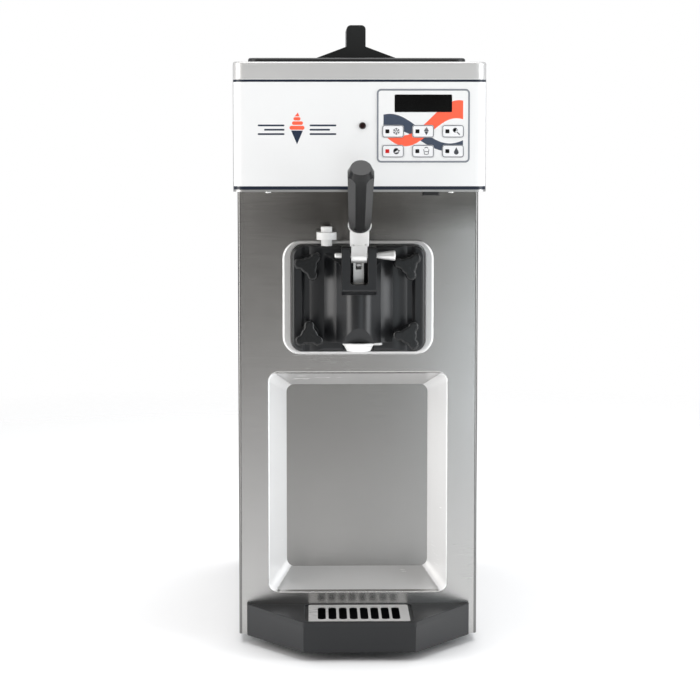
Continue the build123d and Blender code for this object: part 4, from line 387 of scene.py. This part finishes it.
STEEL = (0.60, 0.592, 0.580)
MATERIALS = {
    # front sheet: a near-white painted highlight on its flanks, ledges and bead
    "front_steel": panel_steel("front_steel", STEEL, (0.93, 0.93, 0.93), 0.24),
    "body_steel": steel("body_steel", shade(STEEL, 0.66), 0.40, tone=0.012, spread=0.01, relief=0.012),
    # cover: its upward faces darkened to half as painted shade
    "cover_steel": steel("cover_steel", (0.66, 0.655, 0.645), 0.42, grain=(10.0, 700.0, 700.0), metallic=0.6,
                         level=0.5),
    "hood_steel": steel("hood_steel", (0.50, 0.495, 0.488), 0.38, tone=0.012, spread=0.01, relief=0.012),
    "overlay_white": overlay("overlay_white"),
    "keypad_film": keypad_film("keypad_film"),
    "key_white": plastic("key_white", (0.82, 0.825, 0.835), 0.30, tone=0.01, relief=0.04),
    "window_black": plastic("window_black", (0.001, 0.001, 0.001), 0.16, tone=0.02, relief=0.01),
    "lamp_red": plastic("lamp_red", (0.010, 0.001, 0.001), 0.2, tone=0.15, relief=0.02),
    "switch_black": plastic("switch_black", (0.012, 0.012, 0.013), 0.35),
    "gland_black": plastic("gland_black", (0.012, 0.012, 0.012), 0.45),
    "lid_black": plastic("lid_black", (0.013, 0.014, 0.014), 0.42, grain=1100.0, relief=0.25),
    "tank_steel": steel("tank_steel", (0.68, 0.675, 0.66), 0.22, grain=(300.0, 300.0, 40.0)),
    "door_charcoal": plastic("door_charcoal", (0.0095, 0.0102, 0.0115), 0.33, grain=900.0, relief=0.06,
                             tone=0.08),
    "knob_black": plastic("knob_black", (0.004, 0.0045, 0.005), 0.25, relief=0.04, tone=0.06),
    "grip_black": plastic("grip_black", (0.005, 0.0053, 0.0056), 0.20, relief=0.03, tone=0.06, gloss=0.42),
    "lever_steel": rough_metal("lever_steel", (0.86, 0.86, 0.85), 0.36, pattern=90.0, contrast=0.015,
                               metallic=0.62, relief=0.01),
    "valve_steel": polished("valve_steel", (0.86, 0.85, 0.83), 0.30),
    "white_acetal": plastic("white_acetal", (0.90, 0.90, 0.89), 0.34, relief=0.05, tone=0.015),
    "rubber_black": plastic("rubber_black", (0.016, 0.016, 0.016), 0.72, grain=700.0, relief=0.3),
    "tray_grey": plastic("tray_grey", (0.011, 0.0118, 0.0132), 0.34, grain=1000.0, relief=0.10, tone=0.08,
                         gloss=0.42, edge=0.0014),
    "grid_steel": steel("grid_steel", (0.80, 0.79, 0.78), 0.30, grain=(30.0, 500.0, 500.0), metallic=0.55),
    "frame_zinc": rough_metal("frame_zinc", (0.50, 0.52, 0.53), 0.42, pattern=45.0),
    "screw_steel": polished("screw_steel", (0.78, 0.78, 0.77), 0.2),
    "board_green": plastic("board_green", (0.010, 0.075, 0.030), 0.35, grain=220.0, relief=0.2, tone=0.25),
    "foam_yellow": foam("foam_yellow", (0.72, 0.58, 0.30)),
    "cast_grey": rough_metal("cast_grey", (0.52, 0.53, 0.54), 0.45),
    "shaft_steel": polished("shaft_steel", (0.62, 0.62, 0.61), 0.2),
    "motor_paint": rough_metal("motor_paint", (0.020, 0.035, 0.065), 0.4, metallic=0.0, contrast=0.12),
    "compressor_paint": rough_metal("compressor_paint", (0.010, 0.010, 0.011), 0.38, metallic=0.0,
                                    contrast=0.15),
    "fan_plastic": plastic("fan_plastic", (0.014, 0.014, 0.015), 0.5),
    "copper": polished("copper", (0.74, 0.36, 0.22), 0.28),
}
for part in frame["record"]["subparts"]:
    body_mesh = NODES[part["node"]].data
    body_mesh.materials.clear()
    body_mesh.materials.append(MATERIALS[part["material_slot"]])

INK = plastic("print_ink", (0.055, 0.060, 0.070), 0.35, tone=0.05, relief=0.03)
OUTLINE = plastic("print_outline", (0.210, 0.225, 0.255), 0.35, tone=0.05, relief=0.03)
KEY_EDGE = plastic("print_key_edge", (0.085, 0.095, 0.118), 0.35, tone=0.05, relief=0.03)
NAVY_INK = plastic("print_navy", (0.012, 0.022, 0.048), 0.35, tone=0.05, relief=0.03)
CORAL_INK = plastic("print_coral", CORAL, 0.35, tone=0.03, relief=0.03)
LED_DARK = plastic("led_dark", (0.006, 0.005, 0.005), 0.2, tone=0.05, relief=0.02, coat=0.4)
LED_RED = plastic("led_red", (0.55, 0.012, 0.012), 0.2, tone=0.05, relief=0.02, coat=0.4)


# ---------------------------------------------------------------- flat prints
PRINT = 0.08        # thickness in millimetres


def rounded(x, z, width, height, radius, steps=6):
    """Outline of a rounded rectangle, in millimetres, anticlockwise from the front."""
    points = []
    for turn, (sx, sz) in enumerate(((1, -1), (1, 1), (-1, 1), (-1, -1))):
        cx, cz = x + sx * (width / 2 - radius), z + sz * (height / 2 - radius)
        for step in range(steps + 1):
            angle = math.radians(-90 + 90 * turn + 90 * step / steps)
            points.append((cx + radius * math.cos(angle), cz + radius * math.sin(angle)))
    return points


def bar(x0, z0, x1, z1, width):
    """Outline of a straight stroke between two points."""
    dx, dz = x1 - x0, z1 - z0
    length = math.hypot(dx, dz)
    nx, nz = -dz / length * width / 2, dx / length * width / 2
    return [(x0 + nx, z0 + nz), (x0 - nx, z0 - nz), (x1 - nx, z1 - nz), (x1 + nx, z1 + nz)]


def arc(x, z, radius, start, end, width, steps=24):
    """Outline of a curved stroke, angles in degrees."""
    turns = [math.radians(start + (end - start) * step / steps) for step in range(steps + 1)]
    outer = [(x + (radius + width / 2) * math.cos(t), z + (radius + width / 2) * math.sin(t)) for t in turns]
    inner = [(x + (radius - width / 2) * math.cos(t), z + (radius - width / 2) * math.sin(t)) for t in turns]
    return outer + inner[::-1]


def add_plate(net, outline, face, thickness, index):
    """One closed plate on a face that looks along -Y, its thickness in millimetres."""
    front = [net.verts.new((x * MM, face - thickness * MM, z * MM)) for x, z in outline]
    back = [net.verts.new((x * MM, face, z * MM)) for x, z in outline]
    faces = [net.faces.new(front), net.faces.new(back[::-1])]
    count = len(outline)
    for i in range(count):
        faces.append(net.faces.new((front[i], back[i], back[(i + 1) % count], front[(i + 1) % count])))
    for one in faces:
        one.material_index = index


def add_ring(net, outer, inner, face, thickness, index):
    """One closed ring on a face that looks along -Y, its thickness in millimetres."""
    count = len(outer)
    loops = []
    for outline in (outer, inner):
        for y in (face - thickness * MM, face):
            loops.append([net.verts.new((x * MM, y, z * MM)) for x, z in outline])
    outer_front, outer_back, inner_front, inner_back = loops
    for i in range(count):
        j = (i + 1) % count
        quads = (
            (outer_front[i], outer_front[j], inner_front[j], inner_front[i]),
            (outer_back[j], outer_back[i], inner_back[i], inner_back[j]),
            (outer_front[j], outer_front[i], outer_back[i], outer_back[j]),
            (inner_front[i], inner_front[j], inner_back[j], inner_back[i]),
        )
        for quad in quads:
            net.faces.new(quad).material_index = index


def printed(name, plates, rings, face, body, materials):
    """One piece made of flat prints: plates are (outline, material), rings (outer, inner, material)."""
    net = bmesh.new()
    for outline, index in plates:
        add_plate(net, outline, face, PRINT, index)
    for outer, inner, index in rings:
        add_ring(net, outer, inner, face, PRINT, index)
    caps = [one for one in net.faces if len(one.verts) > 4]
    bmesh.ops.triangulate(net, faces=caps)
    bmesh.ops.recalc_face_normals(net, faces=net.faces)
    mesh = bpy.data.meshes.new(name)
    net.to_mesh(mesh)
    net.free()
    for mat in materials:
        mesh.materials.append(mat)
    obj = bpy.data.objects.new(name, mesh)
    scene.collection.objects.link(obj)
    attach(obj, body)


def snowflake(x, z):
    """Six branched arms."""
    strokes = []
    for turn in range(6):
        arm = math.radians(60 * turn + 30)
        cx, cz = math.cos(arm), math.sin(arm)
        strokes.append(bar(x + 0.9 * cx, z + 0.9 * cz, x + 4.4 * cx, z + 4.4 * cz, 0.9))
        for side in (-1, 1):
            twig = arm + side * math.radians(55)
            px, pz = x + 2.6 * cx, z + 2.6 * cz
            strokes.append(bar(px + 0.4 * math.cos(twig), pz + 0.4 * math.sin(twig),
                               px + 1.7 * math.cos(twig), pz + 1.7 * math.sin(twig), 0.7))
    return strokes


def filled_cone(x, z):
    """A cone with two swirls and a tip."""
    return [
        [(x - 2.6, z - 0.3), (x, z - 5.0), (x + 2.6, z - 0.3)],
        rounded(x, z + 0.9, 6.0, 1.7, 0.8),
        rounded(x, z + 2.7, 4.2, 1.5, 0.7),
        [(x - 1.3, z + 3.65), (x + 1.3, z + 3.65), (x + 0.4, z + 5.2)],
    ]


def whisk(x, z):
    """A handle with two loops."""
    return [
        bar(x + 0.6, z - 0.6, x + 4.4, z - 4.4, 1.3),
        arc(x - 1.5, z + 1.5, 2.6, -20, 290, 0.8),
        arc(x - 1.5, z + 1.5, 1.1, 0, 359, 0.7),
    ]


def round_arrow(x, z):
    """An open circle that ends in an arrowhead."""
    tip = math.radians(20)
    hx, hz = x + 3.4 * math.cos(tip), z + 3.4 * math.sin(tip)
    return [arc(x, z, 3.4, 40, 335, 1.0), [(hx - 1.9, hz + 0.2), (hx + 1.9, hz + 0.2), (hx, hz - 2.3)]]


def cup(x, z):
    """A tapered cup, half full, with a round scoop on top."""
    return [
        bar(x - 3.4, z + 2.4, x - 2.2, z - 4.2, 0.8),
        bar(x + 3.4, z + 2.4, x + 2.2, z - 4.2, 0.8),
        bar(x - 1.7, z - 4.2, x + 1.7, z - 4.2, 0.8),
        bar(x - 2.2, z - 0.6, x + 2.2, z - 0.6, 0.8),
        arc(x, z + 2.7, 2.2, 20, 160, 0.9),
    ]


def drop(x, z):
    """A drop with a pointed top."""
    outline = [(x, z + 5.0)]
    for degrees in range(140, 401, 13):
        angle = math.radians(degrees)
        outline.append((x + 3.0 * math.cos(angle), z - 1.4 + 3.0 * math.sin(angle)))
    return [outline]


# ---------------------------------------------------------------- keys and keypad
ICONS = {
    "cool_button": snowflake, "serve_button": filled_cone, "stir_button": whisk,
    "reset_button": round_arrow, "portion_button": cup, "clean_button": drop,
}
KEY_SIZE = (27.5, 15.7)
LED_LEFT = 7.2
LED_SIZE = 5.0
ICON_RIGHT = 4.2
for key, icon in ICONS.items():
    low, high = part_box(key)
    x, z = (low.x + high.x) / 2 / MM, (low.z + high.z) / 2 / MM
    width, height = KEY_SIZE
    led = LED_RED if key == "reset_button" else LED_DARK
    plates = [(rounded(x - LED_LEFT, z, LED_SIZE, LED_SIZE, 0.5, 3), 1)]
    plates += [(one, 0) for one in icon(x + ICON_RIGHT, z)]
    outer = rounded(x, z, width - 0.5, height - 0.5, 2.9)
    inner = rounded(x, z, width - 2.1, height - 2.1, 2.1)
    printed(f"{key}_print", plates, [(outer, inner, 2)], low.y, key, [INK, led, KEY_EDGE])

low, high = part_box("keypad")
x, z = (low.x + high.x) / 2 / MM, (low.z + high.z) / 2 / MM
width, height = (high.x - low.x) / MM, (high.z - low.z) / MM
outer = rounded(x, z, width - 0.8, height - 0.8, 5.6)
inner = rounded(x, z, width - 5.4, height - 5.4, 3.4)
printed("keypad_border", [], [(outer, inner, 0)], low.y, "root", [OUTLINE])

# ---------------------------------------------------------------- generic mark on the hood
MARK_GAP = 16.0
MARK_RULES = (34.0, 26.0, 34.0)
low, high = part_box("hood_fascia")
mark_x, mark_z = -80.0, 694.0
mark = [
    ([(mark_x - 7.5, mark_z - 4.5), (mark_x, mark_z - 22.0), (mark_x + 7.5, mark_z - 4.5)], 1),
    (rounded(mark_x, mark_z - 1.0, 19.0, 5.0, 2.4), 0),
    (rounded(mark_x + 0.6, mark_z + 4.9, 14.0, 4.6, 2.2), 0),
    (rounded(mark_x, mark_z + 10.4, 9.0, 4.2, 2.0), 0),
    ([(mark_x - 3.0, mark_z + 13.4), (mark_x + 3.0, mark_z + 13.4), (mark_x + 1.2, mark_z + 18.4)], 0),
]
for side in (-1, 1):
    for row, reach in enumerate(MARK_RULES):
        start = mark_x + side * MARK_GAP
        level = mark_z - 9.0 + 5.5 * row
        mark.append((rounded(start + side * reach / 2, level, reach, 2.2, 1.05), 1))
printed("hood_mark", mark, [], low.y, "root", [CORAL_INK, NAVY_INK])

# ---------------------------------------------------------------- floor
FLOOR_RADIUS = 6.0
FLOOR_FADE = (0.8, 2.6)
PAPER = (0.90, 0.90, 0.90)
PAPER_LIGHT = (0.93, 0.93, 0.93)


def floor_paper():
    """Matt paper that fades out away from the machine."""
    mat, tree, surface = shader("floor_paper")
    surface.inputs["Roughness"].default_value = 0.8
    surface.inputs["Specular IOR Level"].default_value = 0.1
    paper = noise(tree, place(tree, (3.0, 3.0, 3.0)), 1.0, 2.0, 0.5)
    tree.links.new(blend_colour(tree, paper, PAPER, PAPER_LIGHT), surface.inputs["Base Color"])
    away = tree.nodes.new("ShaderNodeVectorMath")
    away.operation = "LENGTH"
    tree.links.new(place(tree, (1.0, 1.0, 1.0)), away.inputs[0])
    clear = tree.nodes.new("ShaderNodeBsdfTransparent")
    fade = tree.nodes.new("ShaderNodeMixShader")
    tree.links.new(rise(tree, away.outputs["Value"], *FLOOR_FADE), fade.inputs[0])
    tree.links.new(surface.outputs[0], fade.inputs[1])
    tree.links.new(clear.outputs[0], fade.inputs[2])
    tree.links.new(fade.outputs[0], tree.nodes["Material Output"].inputs["Surface"])
    return mat


floor_mesh = bpy.data.meshes.new("floor")
net = bmesh.new()
bmesh.ops.create_circle(net, cap_ends=True, segments=96, radius=FLOOR_RADIUS)
net.to_mesh(floor_mesh)
net.free()
floor = bpy.data.objects.new("floor", floor_mesh)
scene.collection.objects.link(floor)
floor_mesh.materials.append(floor_paper())

# ---------------------------------------------------------------- light
CENTRE = Vector((0.0, 0.0, 0.42))


def softbox(name, location, size, radiance, colour):
    """Rectangular soft light that faces the machine and gives a set radiance."""
    data = bpy.data.lights.new(name, "AREA")
    data.shape = "RECTANGLE"
    data.size, data.size_y = size
    data.energy = radiance * math.pi * size[0] * size[1]
    data.color = colour
    lamp = bpy.data.objects.new(name, data)
    lamp.location = location
    lamp.rotation_euler = (CENTRE - Vector(location)).to_track_quat("-Z", "Y").to_euler()
    lamp.visible_camera = False
    scene.collection.objects.link(lamp)


# name, place, width and height, radiance, colour
LIGHTS = (
    ("light_left", (-1.75, -1.05, 0.75), (1.0, 1.8), 4.3, (1.0, 0.985, 0.97)),
    ("light_right", (1.75, -1.05, 0.75), (1.0, 1.8), 4.5, (0.96, 0.98, 1.0)),
    ("light_right_front", (0.80, -3.1, 0.20), (1.0, 0.56), 2.1, (0.84, 0.94, 1.0)),
    ("light_top", (0.0, 0.1, 2.6), (2.6, 2.6), 2.6, (1.0, 1.0, 1.0)),
    ("light_back", (0.6, 2.4, 1.6), (1.6, 1.6), 1.4, (1.0, 1.0, 1.0)),
)
for light in LIGHTS:
    softbox(*light)

# brightness of the room in front, from straight down (0) to straight up (1)
ROOM_FLOOR = (1.0, 0.99, 0.97, 1)
ROOM_TOP = (0.85, 0.85, 0.86, 1)
ROOM_STOPS = ((0.40, 0.85), (0.445, 0.34), (0.490, 0.10), (0.56, 0.08), (0.64, 0.16), (0.82, 0.6))
ROOM_BACK = (0.55, 0.56, 0.58)

world = bpy.data.worlds.new("studio")
world.use_nodes = True
scene.world = world
tree = world.node_tree
background = tree.nodes["Background"]
coords = tree.nodes.new("ShaderNodeTexCoord")
direction = tree.nodes.new("ShaderNodeSeparateXYZ")
tree.links.new(coords.outputs["Generated"], direction.inputs[0])
level = tree.nodes.new("ShaderNodeValToRGB")
level.color_ramp.interpolation = "EASE"
ramp = level.color_ramp.elements
ramp[0].position, ramp[0].color = 0.0, ROOM_FLOOR
ramp[1].position, ramp[1].color = 1.0, ROOM_TOP
for position, value in ROOM_STOPS:
    stop = ramp.new(position)
    stop.color = (value, value * 0.985, value * 0.965, 1)
tree.links.new(remap(tree, direction.outputs[2], 0.0, 1.0, -1.0, 1.0), level.inputs[0])
front = remap(tree, direction.outputs[1], 1.0, 0.0, -0.75, 0.1)
room = blend_colour(tree, front, ROOM_BACK, level.outputs[0])
path = tree.nodes.new("ShaderNodeLightPath")
seen = blend_colour(tree, path.outputs["Is Camera Ray"], room, (1.0, 1.0, 1.0))
tree.links.new(seen, background.inputs["Color"])
scene.view_settings.view_transform = "Standard"

# ---------------------------------------------------------------- camera
LENS = 112.3
SHIFT = -0.05
CAMERA_PLACE = (-0.0597, -3.0946, 0.7049)
CAMERA_PITCH = -0.0898
CAMERA_YAW = -0.0169
camera_data = bpy.data.cameras.new("camera")
camera_data.sensor_width = 36.0
camera_data.lens = LENS
camera_data.shift_y = SHIFT
camera_data.clip_end = 60.0
camera = bpy.data.objects.new("camera", camera_data)
camera.location = CAMERA_PLACE
camera.rotation_euler = (math.pi / 2 + CAMERA_PITCH, 0.0, CAMERA_YAW)
scene.collection.objects.link(camera)
scene.camera = camera
